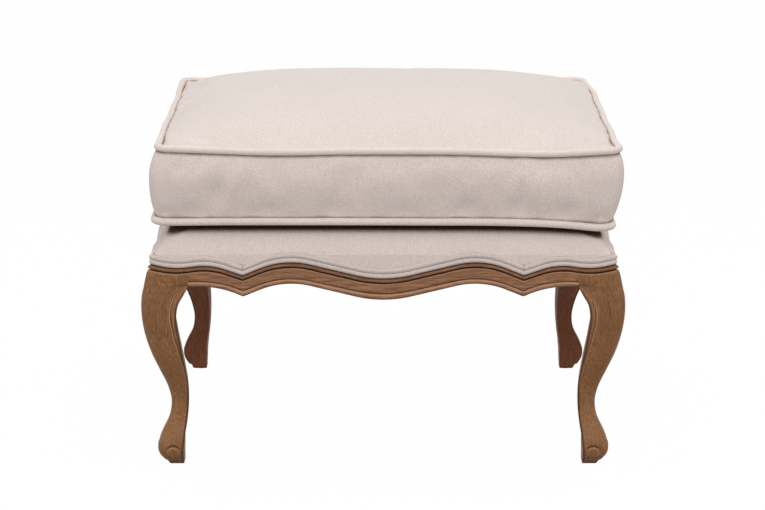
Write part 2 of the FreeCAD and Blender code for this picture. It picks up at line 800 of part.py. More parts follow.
def deck_cover():
    """The fixed cover: domed, turned in under its own edge and stapled into the rebate."""
    lift = 4 * PIPING_RADIUS + 2 * PIPING_SEAT
    skin = deck_form(0.0).cut(deck_form(COVER_THICKNESS)).cut(below_trim(lift))
    ledge = around(between_upper_lines(lift, lift + COVER_THICKNESS), -REACH, POST_WIDTH)
    flange = around(between_upper_lines(PIPING_SEAT, lift + COVER_THICKNESS), -REACH, POST_WIDTH)
    rebate_wall = prism(REBATE_DEPTH - TINY, 0.0, OVERHEAD)
    ledge = ledge.common(deck_form(COVER_THICKNESS / 2)).cut(rebate_wall)
    flange = flange.common(prism(PIPING_BACK_INSET + PIPING_SEAT, 0.0, OVERHEAD)).cut(rebate_wall)
    return join([skin, ledge, flange])


def deck_padding(inward):
    """The space inside the deck cover above the rails."""
    lift = 4 * PIPING_RADIUS + 2 * PIPING_SEAT + COVER_THICKNESS + LAYER_GAP
    return deck_form(inward).cut(below_trim(lift)).cut(deck_core())


def deck_wadding():
    """The soft layer between the foam and the cover."""
    inner = COVER_THICKNESS + LAYER_GAP
    return deck_padding(inner).cut(deck_form(inner + DECK_WADDING).common(above_rails()))


def above_rails():
    """All the space above the hessian."""
    low = hessian_top() + LAYER_GAP
    return box((-FRAME_WIDTH, -FRAME_DEPTH, low), (FRAME_WIDTH, FRAME_DEPTH, low + DECK_TOP))


def deck_foam():
    """The foam slab that carries the cushion."""
    return deck_form(COVER_THICKNESS + DECK_WADDING + 2 * LAYER_GAP).common(above_rails())


def hessian():
    """The cloth over the webbing."""
    return prism(REBATE_DEPTH + HESSIAN_INSET, hessian_top() - HESSIAN_THICKNESS, hessian_top())


# Double piping

def piping_profile(x, z):
    """The double piping's cut at the start of a path: two bumps over a flat back."""
    back, crest, shoulder = PIPING_BACK_INSET, PIPING_CREST_INSET, PIPING_SHOULDER_INSET
    middle, top = 2 * PIPING_RADIUS, 4 * PIPING_RADIUS

    def at(inset, rise):
        return Vector(x, inset, z + rise)

    return Part.Wire([
        Part.LineSegment(at(back, 0), at(shoulder, 0)).toShape(),
        Part.Arc(at(shoulder, 0), at(crest, middle / 2), at(shoulder, middle)).toShape(),
        Part.Arc(at(shoulder, middle), at(crest, (middle + top) / 2), at(shoulder, top)).toShape(),
        Part.LineSegment(at(shoulder, top), at(back, top)).toShape(),
        Part.LineSegment(at(back, top), at(back, 0)).toShape(),
    ])


def piping_run(half, scallop, half_away):
    """The double piping along the front, running past both corners and mitred there."""
    past = 2 * PIPING_BACK_INSET
    path = Part.Wire(upper_line(half, scallop, PIPING_SEAT, past))
    start = path.Edges[0].firstVertex().Point
    sweep = Part.BRepOffsetAPI.MakePipeShell(path)
    sweep.setTrihedronMode(Vector(0, 0, 0), Vector(1, 0, 0))
    sweep.add(piping_profile(start.x, start.z))
    sweep.build()
    sweep.makeSolid()
    run = sweep.shape()
    run.translate(Vector(0, -half_away, 0))
    outer, inner = half + past, half - POST_WIDTH
    corners = [
        Vector(-outer, -half_away - past, 0), Vector(outer, -half_away - past, 0),
        Vector(inner, POST_WIDTH - half_away, 0), Vector(-inner, POST_WIDTH - half_away, 0),
    ]
    mitre = Part.Face(Part.makePolygon(corners + corners[:1])).extrude(Vector(0, 0, OVERHEAD))
    return run.common(mitre)


def double_piping():
    """The whole trim, mitred at the corners into one piece."""
    front = piping_run(HALF_WIDTH, FRONT_SCALLOP, HALF_DEPTH)
    side = turned_to_side(piping_run(HALF_DEPTH, SIDE_SCALLOP, HALF_WIDTH))
    return join([front, mirrored(front, False, True), side, mirrored(side, True, False)])


# Cushion

def cushion_bottom():
    """The level of the cushion's underside."""
    return DECK_TOP + CUSHION_REST_GAP


def welt_top():
    """The level of the upper welt's middle."""
    return cushion_bottom() + BOXING_HEIGHT


def boxing_swell(share):
    """How far the boxing stands out from its seams, at a share of its height."""
    return (BOXING_BULGE + WELT_RADIUS + SEAM_INSET) * 4 * share * (1 - share)


def seam_half(size):
    """Half the size of the seam that a welt is sewn into."""
    return size / 2 - WELT_RADIUS - SEAM_INSET


def cushion_form(inward):
    """The whole cushion, taken in by inward: swelling sides between two seams, and a crowned top."""
    half_x, half_y = seam_half(CUSHION_WIDTH) - inward, seam_half(CUSHION_DEPTH) - inward
    low, high = cushion_bottom() + inward, welt_top()
    rise = CROWN_HEIGHT - inward
    sections = []
    for share in BOXING_LEVELS:
        out = boxing_swell(share)
        radius = CUSHION_CORNER_RADIUS + out
        sections.append(rounded_rectangle(half_x + out, half_y + out, radius, low + share * (high - low)))
    for share in CROWN_LEVELS:
        reach = (1 - share) ** (1 / CROWN_POWER)
        radius = min(CROWN_CORNER_RADIUS * share ** CROWN_ROUNDING, CROWN_ROUNDEST * half_y * reach)
        height = high + rise * share / CROWN_LEVELS[-1]
        sections.append(rounded_rectangle(half_x * reach, half_y * reach, radius, height))
    return Part.makeLoft(sections, True, True)


def welt_ring(height, radius):
    """A cord round the cushion at one height."""
    half_x = CUSHION_WIDTH / 2 - WELT_RADIUS
    half_y = CUSHION_DEPTH / 2 - WELT_RADIUS
    path = rounded_rectangle(half_x, half_y, CUSHION_CORNER_RADIUS + SEAM_INSET, height)
    start = path.Edges[0].firstVertex().Point
    profile = Part.Wire(Part.Circle(start, Vector(0, 1, 0), radius).toShape())
    return path.makePipeShell([profile], True, False)


def welt_zone():
    """The space that both welts take from the panels."""
    clear = WELT_RADIUS + LAYER_GAP / 2
    return group([welt_ring(cushion_bottom(), clear), welt_ring(welt_top(), clear)])


def zip_middle():
    """The height of the zip, half way up the boxing."""
    return (cushion_bottom() + welt_top()) / 2


def back_face():
    """The cushion's back at the height of the zip."""
    return seam_half(CUSHION_DEPTH) + boxing_swell(ZIP_LEVEL)


def tape_inset():
    """How far the zip tape lies inside the cushion's outer face."""
    return COVER_THICKNESS + LAYER_GAP / 2


def back_zone(low, high):
    """The part of the back boxing that the zip is sewn into, between two heights."""
    half = ZIP_LENGTH / 2
    return box((-half, CUSHION_DEPTH / 4, low), (half, CUSHION_DEPTH, high))


def cushion_pieces():
    """Cover panels, welts, wadding, foam and zip tapes of the cushion, keyed by name."""
    shell = cushion_form(0.0).cut(cushion_form(COVER_THICKNESS))
    zone = welt_zone()
    low, high = cushion_bottom() + COVER_THICKNESS, welt_top()
    wide, deep, tall = CUSHION_WIDTH, CUSHION_DEPTH, CUSHION_WIDTH
    over = box((-wide, -deep, high), (wide, deep, high + tall))
    under = box((-wide, -deep, low - tall), (wide, deep, low))
    between = box((-wide, -deep, low), (wide, deep, high))
    boxing = shell.common(between).cut(zone)
    upper_edge, lower_edge = zip_middle() + ZIP_OPENING / 2, zip_middle() - ZIP_OPENING / 2
    tape_depth = tape_inset() + ZIP_TAPE_THICKNESS
    half_tape = ZIP_TAPE_WIDTH / 2
    tape = cushion_form(tape_inset()).cut(cushion_form(tape_depth))
    tape = tape.common(back_zone(zip_middle() - half_tape, zip_middle() + half_tape))
    stuffing = COVER_THICKNESS + LAYER_GAP
    core = stuffing + CUSHION_WADDING
    recess = back_zone(zip_middle() - half_tape - LAYER_GAP, zip_middle() + half_tape + LAYER_GAP)
    recess = recess.cut(cushion_form(tape_depth + LAYER_GAP))
    wadding = cushion_form(stuffing).cut(cushion_form(core)).cut(zone).cut(recess)
    return {
        "cushion_top_panel": shell.common(over).cut(zone),
        "cushion_bottom_panel": shell.common(under).cut(zone),
        "cushion_boxing": boxing.cut(back_zone(0.0, OVERHEAD * 2)),
        "cushion_back_strip_upper": boxing.common(back_zone(upper_edge, OVERHEAD * 2)),
        "cushion_back_strip_lower": boxing.common(back_zone(0.0, lower_edge)),
        "cushion_wadding": wadding,
        "cushion_foam": cushion_form(core + LAYER_GAP),
        "cushion_zip_tape": tape,
    }


def welt(height):
    """One welt as its sewn sleeve and the cord inside it."""
    hollow = welt_ring(height, WELT_CORD_RADIUS + WELT_CORD_GAP)
    return welt_ring(height, WELT_RADIUS).cut(hollow), welt_ring(height, WELT_CORD_RADIUS)


# Zip

def zip_coil():
    """The closed coil of the zip, as one bar."""
    half, wide = ZIP_LENGTH / 2, ZIP_COIL_WIDTH / 2
    inner = back_face() - tape_inset()
    return box(
        (-half, inner, zip_middle() - wide),
        (half, inner + ZIP_COIL_THICKNESS, zip_middle() + wide))


def slider_place():
    """The slider's middle when the zip is closed."""
    return -ZIP_LENGTH / 2 + SLIDER_LENGTH


def bridge_axis():
    """How far back the slider's bridge lies."""
    return back_face() + SLIDER_GAP + SLIDER_PLATE + BRIDGE_RISE


def zip_slider():
    """A plate over the coil with two flanges beside it and a bridge for the pull."""
    middle, half = slider_place(), SLIDER_LENGTH / 2
    low = back_face() + SLIDER_GAP
    plate = box(
        (middle - half, low, zip_middle() - SLIDER_WIDTH / 2),
        (middle + half, low + SLIDER_PLATE, zip_middle() + SLIDER_WIDTH / 2))
    parts = [plate]
    beside = ZIP_COIL_WIDTH / 2 + SLIDER_GAP
    for sign in (-1, 1):
        edges = sorted((zip_middle() + sign * beside, zip_middle() + sign * (beside + SLIDER_FLANGE)))
        parts.append(box(
            (middle - half, low - ZIP_COIL_THICKNESS, edges[0]),
            (middle + half, low + SLIDER_PLATE / 2, edges[1])))
    post = half - 2 * BRIDGE_RADIUS
    for sign in (-1, 1):
        place = middle + sign * post
        parts.append(box(
            (place - BRIDGE_RADIUS, low, zip_middle() - BRIDGE_RADIUS),
            (place + BRIDGE_RADIUS, bridge_axis() + BRIDGE_RADIUS, zip_middle() + BRIDGE_RADIUS)))
    parts.append(Part.makeCylinder(
        BRIDGE_RADIUS, 2 * post, Vector(middle - post, bridge_axis(), zip_middle()), Vector(1, 0, 0)))
    return join(parts)


def zip_pull():
    """The flat pull that hangs from the bridge by its eye."""
    middle = slider_place()
    eye = BRIDGE_RADIUS + PULL_EYE
    rim = eye + PULL_RIM
    half = PULL_WIDTH / 2
    start = Vector(middle - half, bridge_axis(), zip_middle())
    ring = Part.makeCylinder(rim, PULL_WIDTH, start, Vector(1, 0, 0))
    blade = box(
        (middle - half, bridge_axis() - PULL_THICKNESS / 2, zip_middle() - PULL_LENGTH),
        (middle + half, bridge_axis() + PULL_THICKNESS / 2, zip_middle()))
    hole = Part.makeCylinder(eye, PULL_WIDTH, start, Vector(1, 0, 0))
    return join([ring, blade]).cut(hole)


def glide():
    """A felt glide under the front left toe."""
    middle = (TOE_INSET_BOTTOM + TOE_INNER_INSET) / 2
    return Part.makeCylinder(
        GLIDE_RADIUS, GLIDE_THICKNESS, Vector(middle - HALF_WIDTH, middle - HALF_DEPTH, 0))


def main():
    os.makedirs("parts", exist_ok=True)
    leg, block, felt = front_left_leg(), front_left_block(), glide()
    for corner, flips in CORNERS.items():
        save(f"{corner}_leg", mirrored(leg, *flips))
        save(f"{corner}_corner_block", mirrored(block, *flips))
        save(f"{corner}_glide", mirrored(felt, *flips))
    webs, web_staples, hem_staples = webbing(), webbing_staples(), dust_cover_staples()
    front = bored(apron(HALF_WIDTH, FRONT_SCALLOP, HALF_DEPTH)).cut(group([web_staples, hem_staples]))
    side = bored(side_apron()).cut(group([web_staples, hem_staples]))
    save("front_apron", front)
    save("back_apron", mirrored(front, False, True))
    save("left_apron", side)
    save("right_apron", mirrored(side, True, False))
    save("apron_dowels", dowels())
    save("corner_block_screws", block_screws())
    for name, piece in webs.items():
        save(name, piece.cut(web_staples))
    save("webbing_staples", web_staples)
    save("dust_cover", dust_cover().cut(hem_staples))
    save("dust_cover_staples", hem_staples)
    save("hessian", hessian())
    save("deck_foam", deck_foam())
    save("deck_wadding", deck_wadding())
    save("deck_cover", deck_cover())
    save("double_piping", double_piping())
    for name, piece in cushion_pieces().items():
        save(name, piece)
    for place, height in (("top", welt_top()), ("bottom", cushion_bottom())):
        sleeve, cord = welt(height)
        save(f"cushion_{place}_welt", sleeve)
        save(f"cushion_{place}_welt_cord", cord)
    save("cushion_zip_coil", zip_coil())
    save("zip_slider", zip_slider())
    save("zip_pull", zip_pull())


main()
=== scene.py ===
"""Looks of a French provincial ottoman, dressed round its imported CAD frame.

Metres. +X runs along the wide side, +Z up, and the front faces -Y. Named lengths are written in
millimetres times MM, and lengths in the tables in millimetres.
"""

from math import acos, cos, pi, radians, sin, tan

import bmesh
import bpy
import numpy as np
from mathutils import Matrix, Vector


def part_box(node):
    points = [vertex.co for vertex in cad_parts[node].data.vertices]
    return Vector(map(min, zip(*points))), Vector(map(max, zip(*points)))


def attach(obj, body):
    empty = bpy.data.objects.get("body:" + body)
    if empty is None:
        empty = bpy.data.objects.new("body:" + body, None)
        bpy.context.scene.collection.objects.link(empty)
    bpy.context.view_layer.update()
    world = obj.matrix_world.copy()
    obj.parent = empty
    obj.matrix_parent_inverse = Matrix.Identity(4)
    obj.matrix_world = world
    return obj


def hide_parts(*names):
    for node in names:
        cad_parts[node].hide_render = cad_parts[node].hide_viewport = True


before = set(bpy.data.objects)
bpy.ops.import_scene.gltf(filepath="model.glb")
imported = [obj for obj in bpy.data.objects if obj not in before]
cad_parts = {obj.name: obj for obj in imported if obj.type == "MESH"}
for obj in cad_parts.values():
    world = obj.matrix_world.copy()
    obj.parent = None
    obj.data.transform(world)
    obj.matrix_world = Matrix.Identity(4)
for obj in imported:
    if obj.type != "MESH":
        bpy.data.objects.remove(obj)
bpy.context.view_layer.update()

MM = 0.001

# Frame, read off the CAD nodes
HALF_DEPTH = -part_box("front_apron")[0].y
HALF_WIDTH = -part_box("left_apron")[0].x
RAIL_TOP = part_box("front_apron")[1].z
POST_WIDTH = HALF_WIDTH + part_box("front_apron")[0].x
APRON_THICKNESS = HALF_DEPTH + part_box("front_apron")[1].y
REBATE_DEPTH = 8 * MM
BAND_DEPTH = 1.5 * MM
APRON_BACK_RISE = 6 * MM

# Scallop of the aprons, as in the frame: corners of a line that arcs round off, from a side's end to
# its middle. Each has its height, then its distance from the end and the arc's radius on the front
# and back, and the same two on the sides. The last one lies in the middle.
HUMP_HEIGHT = 262 * MM
EDGE_DROP = 0.9 * MM
BEAD_NARROWS = (243 * MM, 266 * MM)
FRONT_CUSP, SIDE_CUSP = 127, 107
LOWER_LINE = np.array((
    (262, 52, 0, 52, 0), (262, 98, 130, 86, 60), (248, FRONT_CUSP, 5, SIDE_CUSP, 5),
    (271.6, 184, 110, 149, 80), (238.8, 0, 160, 0, 118))) * MM
UPPER_LINE = np.array((
    (293.5, 0, 0, 0, 0), (285.5, 34, 105, 34, 105), (292.5, 82, 90, 74, 60),
    (277, FRONT_CUSP, 5, SIDE_CUSP, 5), (300.6, 184, 110, 149, 80), (267.8, 0, 160, 0, 118))) * MM

# Mouldings of the show wood: (inset from the crest, distance from the edge, shade), where a shade
# below 0 is painted shade in a recess or under the piping, and one above 0 a painted highlight on an edge
TOP_BEAD = (
    (2.6, 0.0, -0.8), (1.5, 0.35, -0.7), (0.8, 1.0, -0.5), (0.25, 2.0, -0.3), (0.0, 3.2, -0.15),
    (0.15, 4.2, -0.3), (0.7, 4.9, -0.6), (1.8, 5.4, -0.85), (3.4, 5.8, -0.9), (3.5, 6.7, -0.9),
    (2.0, 7.1, -0.7), (1.15, 7.45, 0.3), (0.95, 7.9, 0.8), (1.1, 8.5, 0.45), (1.35, 9.6, 0.1),
    (1.5, 11.0, 0.0),
)
BOTTOM_BEAD = (
    (4.4, 0.0, -1.0), (2.8, 0.3, -1.0), (1.6, 0.9, -0.85), (0.7, 1.8, -0.3), (0.1, 3.0, 0.0),
    (0.05, 4.2, 0.1), (0.45, 5.3, 0.45), (1.1, 6.1, 0.9), (1.9, 6.8, 0.9), (2.6, 7.3, -0.2),
    (2.6, 7.8, -0.9), (1.9, 8.4, -0.6), (1.6, 9.3, -0.25), (1.5, 10.8, 0.0),
)

# Cabriole curve: height, inset of the outer corner, of the inner faces, of the two outer faces at
# their inner edges, radius of the outer corner, inset of the line where the bead strip starts
LEG_STATIONS = np.array((
    (8.0, 12.6, 40.5, 12.6, 9.0, 37.5), (16.0, 7.4, 40.6, 7.4, 10.5, 36.2),
    (24.0, 5.0, 40.8, 5.0, 11.0, 35.2), (34.0, 6.0, 41.8, 6.0, 11.0, 34.6),
    (44.0, 9.8, 43.0, 9.8, 10.5, 35.2), (66.0, 20.2, 46.3, 20.2, 8.5, 38.8),
    (88.0, 23.8, 48.3, 23.8, 8.0, 43.2), (112.0, 19.6, 48.5, 19.6, 9.0, 45.4),
    (138.0, 9.6, 46.3, 9.6, 12.0, 43.4), (166.0, -1.0, 42.8, 0.0, 15.0, 38.2),
    (196.0, -8.8, 38.6, -6.0, 17.0, 31.2), (222.0, -12.0, 36.2, -7.5, 17.0, 27.6),
    (238.0, -12.0, 39.2, -5.6, 16.0, 29.6), (250.0, -10.8, 46.2, -2.2, 14.0, 35.0),
    (262.0, -8.0, 52.0, 1.5, 12.0, 45.5), (267.0, -7.0, 52.0, 1.5, 11.2, 51.4),
    (300.0, 0.8, 52.0, 1.8, 6.0, 51.4),
)) * MM

# Toe under the foot: (inset of the outer corner, of the inner faces, corner radius, height)
TOE_RINGS = np.array((
    (20.3, 39.7, 3, 0.4), (19.5, 40.5, 3, 1.2), (16.5, 40.5, 3, 6.8), (15.5, 40.5, 4, 7.4),
    (13.6, 40.5, 7, 7.6),
)) * MM

# Heights at which a leg is cut, and the ranges of height over which its carving changes
LEG_HEIGHTS = np.concatenate([
    np.arange(9.0, 48.0, 1.5), np.arange(48.0, 230.0, 2.5), np.arange(230.0, 262.1, 1.0)]) * MM
CARVING_STARTS = (26 * MM, 38 * MM)
CARVING_DEEPENS = (60 * MM, 200 * MM)
EDGE_SHARPENS = (250 * MM, HUMP_HEIGHT)
SECOND_GROOVE_STARTS = (226 * MM, 252 * MM)
CARVING_ENDS = (HUMP_HEIGHT + 3 * MM, HUMP_HEIGHT + 7 * MM)
# Ranges of height of the painted highlight on the foot and of the painted shade coming in over the knee
FOOT_HIGHLIGHT_STARTS = (22 * MM, 40 * MM)
FOOT_HIGHLIGHT_ENDS = (48 * MM, 90 * MM)
KNEE_STARTS = (170 * MM, 215 * MM)
BAND_LEVEL = 282 * MM
POST_LEVEL = 300 * MM
LEVEL_PER_DROP = 1.4
POST_STEPS = 22
FACE_HOLLOW = 1.0 * MM
# Strengths of the painted highlight on the foot and of the painted shade over the knee and post
FOOT_HIGHLIGHT = 0.12
KNEE_PAINTED_SHADE = 0.2

# Columns of points over half a leg's cut
INNER_COLUMNS = 6
EDGE_COLUMNS = 4
FACE_COLUMNS = 16
TURN_COLUMNS = 8
INNER_TAPER = 4 * MM

# Rounding of a leg's inner edges: in the toe, at its least, and what the cabriole adds
TOE_EDGE = 1.2 * MM
LEAST_EDGE = 0.5 * MM
CABRIOLE_EDGE = 2.4 * MM

# Bead strip of a leg: how far it reaches past its line, and (share of its width, rise)
STRIP_REACH = 2.0 * MM
STRIP = ((0.25, 0.6), (0.5, 0.9), (0.75, 0.6))

# Ridge between a leg's face and its bead strip: (distance towards the strip, rise, shade, and the
# rise and shade where a second groove runs on the face's side of it), and how far off the face starts.
# Its shade is a painted highlight on the ridge and painted shade in the grooves beside it
RIDGE = (
    (1.7, -0.1, -0.1, -0.1, 0.0), (1.1, -0.6, -0.4, -0.6, 0.0), (0.6, -0.65, -0.35, -0.65, 0.0),
    (0.15, 0.1, 0.5, 0.1, 0.5), (-0.3, 0.6, 1.0, 0.6, 1.0), (-0.9, 0.5, 0.9, 0.5, 0.9),
    (-1.5, 0.0, 0.0, -0.6, -0.8), (-2.3, 0.0, 0.0, 0.0, -0.2),
)
FACE_START = 3.4

# Scroll discs of the feet: (radius, height above the carved face, shade), where the shade is painted
# shade round the rim and in the ring groove, and a painted highlight on the dome
SCROLL_PROFILE = (
    (11.3, -5.0, -0.6), (11.3, 0.2, -1.0), (11.1, 0.7, -0.5), (10.7, 1.0, 0.1), (10.3, 0.8, 0.0),
    (9.9, 0.2, -0.9), (9.6, 0.0, -1.0), (9.3, 0.4, -0.9), (8.9, 1.2, 0.1), (8.2, 2.0, 0.6),
    (7.0, 2.6, 0.3), (5.0, 3.0, 0.0), (3.0, 3.3, 0.0), (1.5, 3.45, 0.0), (0.4, 3.5, 0.0),
)
SCROLL_HEIGHT = 21.5 * MM
SCROLL_INSET = 26.5 * MM
SCROLL_FACE_INSET = 6.8 * MM
SCROLL_SIDE_INSET = 8.0 * MM
SCROLL_TILT = radians(13)
SCROLL_SIDES = 40

# Double piping
PIPING_RADIUS = 3.5 * MM
PIPING_BACK_INSET = 6.2 * MM
PIPING_SEAT = 0.25 * MM
PIPING_TURN = 7 * MM
PIPING_TURN_STEPS = 8
PINCH_WIDTH = 0.8 * MM
PINCH_DEPTH = 0.9 * MM
STITCH_PITCH = 3.3 * MM
STITCH_LENGTH = 2.2 * MM
STITCH_RADIUS = 0.42 * MM
STITCH_INSET = 1.15 * MM

# Deck: edge of the cover behind the piping, as (inset, rise), then (height, inset from the frame's
# faces) of the cover over it
DECK_HEM = np.array(((5.0, -1.0), (3.2, -0.8), (2.8, -0.1))) * MM
RIM_INSET = 2 * MM
DECK_SHOULDER = 306 * MM
DECK_BLEND = 16 * MM
CORNER_BLEND = 8 * MM
DECK_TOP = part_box("deck_cover")[1].z
DECK_STATIONS = np.array((
    (306.0, 3.0), (309.5, 4.2), (313.0, 5.8), (317.0, 8.0), (321.0, 10.5), (325.0, 13.3),
    (329.0, 16.4), (333.0, 19.8), (337.0, 23.4), (340.0, 26.5), (343.0, 30.0), (345.6, 33.6),
    (348.0, 37.8), (349.7, 42.0), (351.0, 46.5), (351.7, 52.5), (352.0, 60.0),
)) * MM
REBATE_RADIUS = 10 * MM
RIM_RADIUS = REBATE_RADIUS + 2 * MM
DECK_CORNER_RADIUS = 14 * MM
DECK_CORNER_GROWTH = 0.75
DECK_SIDE_LEAN = 4.5 * MM
DECK_SAG = 0.6 * MM
PLEAT_ROWS = range(4, 14)
PLEAT_DEPTH = 1.6 * MM

# Cushion, whose seams keep the CAD cushion's size
SEAM_HALF = (309 * MM, 239 * MM)
SEAM_RADIUS = 16 * MM
SEAM_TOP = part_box("cushion_top_panel")[0].z
SEAM_BOTTOM = (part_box("cushion_bottom_welt")[0].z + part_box("cushion_bottom_welt")[1].z) / 2
CROWN_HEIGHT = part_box("cushion_top_panel")[1].z - SEAM_TOP
CROWN_POWER = 4.6
CROWN_SAG = 2.5 * MM
CROWN_LEAN = 0.045
CROWN_RIM = (-9 * MM, 11 * MM)
WELT_RADIUS = 4.9 * MM
BOTTOM_WELT_RADIUS = 5.3 * MM
WELT_HALF = (310 * MM, 240 * MM)
WELT_TURN = 17 * MM
CORD_RADIUS = 3.2 * MM
COVER_THICKNESS = 1.3 * MM
UNDERSIDE_FLAT = (0, 42 * MM)
UNDERSIDE_LIFT = 0.2 * MM
ZIP_HALF = 270 * MM
ZIP_FADE = 22 * MM
ZIP_ROOM = 4.2 * MM
BACK_FROM = 200 * MM
ZIP_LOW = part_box("cushion_back_strip_lower")[1].z
ZIP_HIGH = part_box("cushion_back_strip_upper")[0].z


# Mesh building

def placed(name, data):
    """An object in the scene for a mesh, a lamp or a camera."""
    made = bpy.data.objects.new(name, data)
    bpy.context.scene.collection.objects.link(made)
    return made


def link(name, mesh, material, body, replaced=()):
    """A mesh on its body, with its material and the CAD nodes it stands for."""
    piece = placed(name, mesh)
    piece.data.materials.append(material)
    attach(piece, body)
    if replaced:
        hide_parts(*replaced)
    return piece


def grid_faces(rows, columns, wrap_rows=False, wrap_columns=False):
    """Quads between neighbouring points of a grid."""
    index = np.arange(rows * columns).reshape(rows, columns)
    if wrap_rows:
        index = np.vstack([index, index[:1]])
    if wrap_columns:
        index = np.hstack([index, index[:, :1]])
    quads = np.stack([index[:-1, :-1], index[:-1, 1:], index[1:, 1:], index[1:, :-1]], axis=-1)
    return quads.reshape(-1, 4).tolist()


class Builder:
    """Gathers grids of points, with their faces and shades, into one mesh."""

    def __init__(self):
        self.points, self.faces, self.shades = [], [], []

    def grid(self, points, shade=None, wrap_rows=False, wrap_columns=False, caps=False):
        """A grid of points, shaped (rows, columns, 3), with optional caps on its first and last row."""
        rows, columns = points.shape[:2]
        faces = grid_faces(rows, columns, wrap_rows, wrap_columns)
        if caps:
            faces.append(list(range(columns)))
            faces.append(list(range((rows - 1) * columns, rows * columns)))
        start = len(self.points)
        self.points += points.reshape(-1, 3).tolist()
        self.faces += [[start + i for i in face] for face in faces]
        self.shades += (np.zeros(rows * columns) if shade is None else shade.reshape(-1)).tolist()

    def mesh(self, name, crease=radians(38)):
        mesh = bpy.data.meshes.new(name)
        mesh.from_pydata(self.points, [], self.faces)
        shade = mesh.attributes.new("shade", "FLOAT", "POINT")
        shade.data.foreach_set("value", self.shades)
        work = bmesh.new()
        work.from_mesh(mesh)
        bmesh.ops.remove_doubles(work, verts=work.verts, dist=1e-6)
        bmesh.ops.dissolve_degenerate(work, edges=work.edges, dist=1e-7)
        bmesh.ops.recalc_face_normals(work, faces=work.faces)
        work.to_mesh(mesh)
        work.free()
        mesh.polygons.foreach_set("use_smooth", [True] * len(mesh.polygons))
        mesh.set_sharp_from_angle(angle=crease)
        mesh.update()
        return mesh


def grid_mesh(name, crease, points, shade=None, **closing):
    """A mesh of one grid of points."""
    builder = Builder()
    builder.grid(points, shade, **closing)
    return builder.mesh(name, radians(crease))


def xyz(x, y, z):
    """Points from their coordinates, each an array or one number."""
    return np.stack(np.broadcast_arrays(x, y, z), axis=-1)


def side_to_world(points, turn):
    """Points of the front side, turned anticlockwise by quarter turns: 1 is right, 2 back, 3 left."""
    x, y, z = np.moveaxis(points, -1, 0)
    return xyz(*((x, y), (-y, x), (-x, -y), (y, -x))[turn], z)


def unit(vector):
    return vector / np.linalg.norm(vector)


# Lines and curves

def rounded_line(corners, steps=24):
    """Points of a line through (x, z, radius) corners, rounded by tangent arcs."""
    points = [np.array(corners[0][:2])]
    for before, corner, after in zip(corners, corners[1:], corners[2:]):
        middle, radius = np.array(corner[:2]), corner[2]
        back, ahead = (unit(np.array(other[:2]) - middle) for other in (before, after))
        half_turn = (pi - acos(float(back @ ahead))) / 2
        centre = middle + unit(back + ahead) * radius / cos(half_turn)
        cut = radius * tan(half_turn)
        for share in np.linspace(0, 1, steps + 1):
            way = (back * (1 - share) + ahead * share) * cut + middle - centre
            points.append(centre + unit(way) * radius)
    points.append(np.array(corners[-1][:2]))
    return np.array(points)


def scallop_line(half, table, column, drop=0.0):
    """The height of a side's line as a function of the place along it."""
    left = [(row[column] - half, row[0], row[column + 1]) for row in table]
    left[-1] = (0.0, *left[-1][1:])
    line = rounded_line(left + [(-x, z, radius) for x, z, radius in left[-2::-1]])
    return lambda x: np.interp(x, line[:, 0], line[:, 1]) - drop


# (half length, distance from the centre, place of a cusp, the apron's lower edge, the top edge of the
# visible wood) of the front, right, back and left side
SIDES = [
    (half, away, half - cusp * MM, scallop_line(half, LOWER_LINE, column, EDGE_DROP),
     scallop_line(half, UPPER_LINE, column))
    for half, away, cusp, column in (
        (HALF_WIDTH, HALF_DEPTH, FRONT_CUSP, 1), (HALF_DEPTH, HALF_WIDTH, SIDE_CUSP, 3))
] * 2


def places_along(cusp, end, step=2.2 * MM, fine=0.5 * MM):
    """Places along a side, closer together at its cusps."""
    coarse = np.linspace(-end, end, int(2 * end / step) + 1)
    near = np.arange(-4 * MM, 4 * MM + fine / 2, fine)
    extra = np.concatenate([near - cusp, near + cusp])
    coarse = coarse[np.min(np.abs(coarse[:, None] - extra[None]), axis=1) > fine]
    return np.sort(np.concatenate([coarse, extra]))


def bead_scale(low):
    """The lower bead narrows a little where the scallop rises."""
    return np.interp(low, BEAD_NARROWS, (1.12, 0.92))


def smooth_through(places, values, at):
    """A smooth curve through values at places, read at one place or at many."""
    slopes = np.gradient(values, places, axis=0)
    i = np.clip(np.searchsorted(places, at) - 1, 0, len(places) - 2)
    span = places[i + 1] - places[i]
    t = np.clip((at - places[i]) / span, 0, 1)
    return (
        (2 * t**3 - 3 * t**2 + 1) * values[i] + (t**3 - 2 * t**2 + t) * span * slopes[i]
        + (3 * t**2 - 2 * t**3) * values[i + 1] + (t**3 - t**2) * span * slopes[i + 1])


def ease(value, low, high):
    """0 below low, 1 above high, smooth between."""
    t = np.clip((value - low) / (high - low), 0, 1)
    return t * t * (3 - 2 * t)


# Wooden pieces

def apron_mesh(name, turn):
    half, away, cusp, lower_line, upper_line = SIDES[turn]
    x = places_along(cusp, half - POST_WIDTH)
    low, high = lower_line(x), upper_line(x)
    scale = bead_scale(low)
    back, lip = APRON_THICKNESS, 0.8 * MM
    cut = [(back, low + APRON_BACK_RISE, 0), (back, low + lip, 0), (back - lip, low, 0), (back / 2, low, 0)]
    cut += [(inset * MM, low + rise * MM * scale, shade) for inset, rise, shade in BOTTOM_BEAD]
    cut += [(inset * MM, high - drop * MM, shade) for inset, drop, shade in reversed(TOP_BEAD)]
    cut += [(REBATE_DEPTH, high, 0), (REBATE_DEPTH, RAIL_TOP, 0), (back, RAIL_TOP, 0)]
    points = np.stack([xyz(x, inset - away, height) for inset, height, _ in cut], axis=1)
    shades = np.tile([shade for _, _, shade in cut], (len(x), 1))
    return grid_mesh(name, 50, side_to_world(points, turn), shades, wrap_columns=True, caps=True)


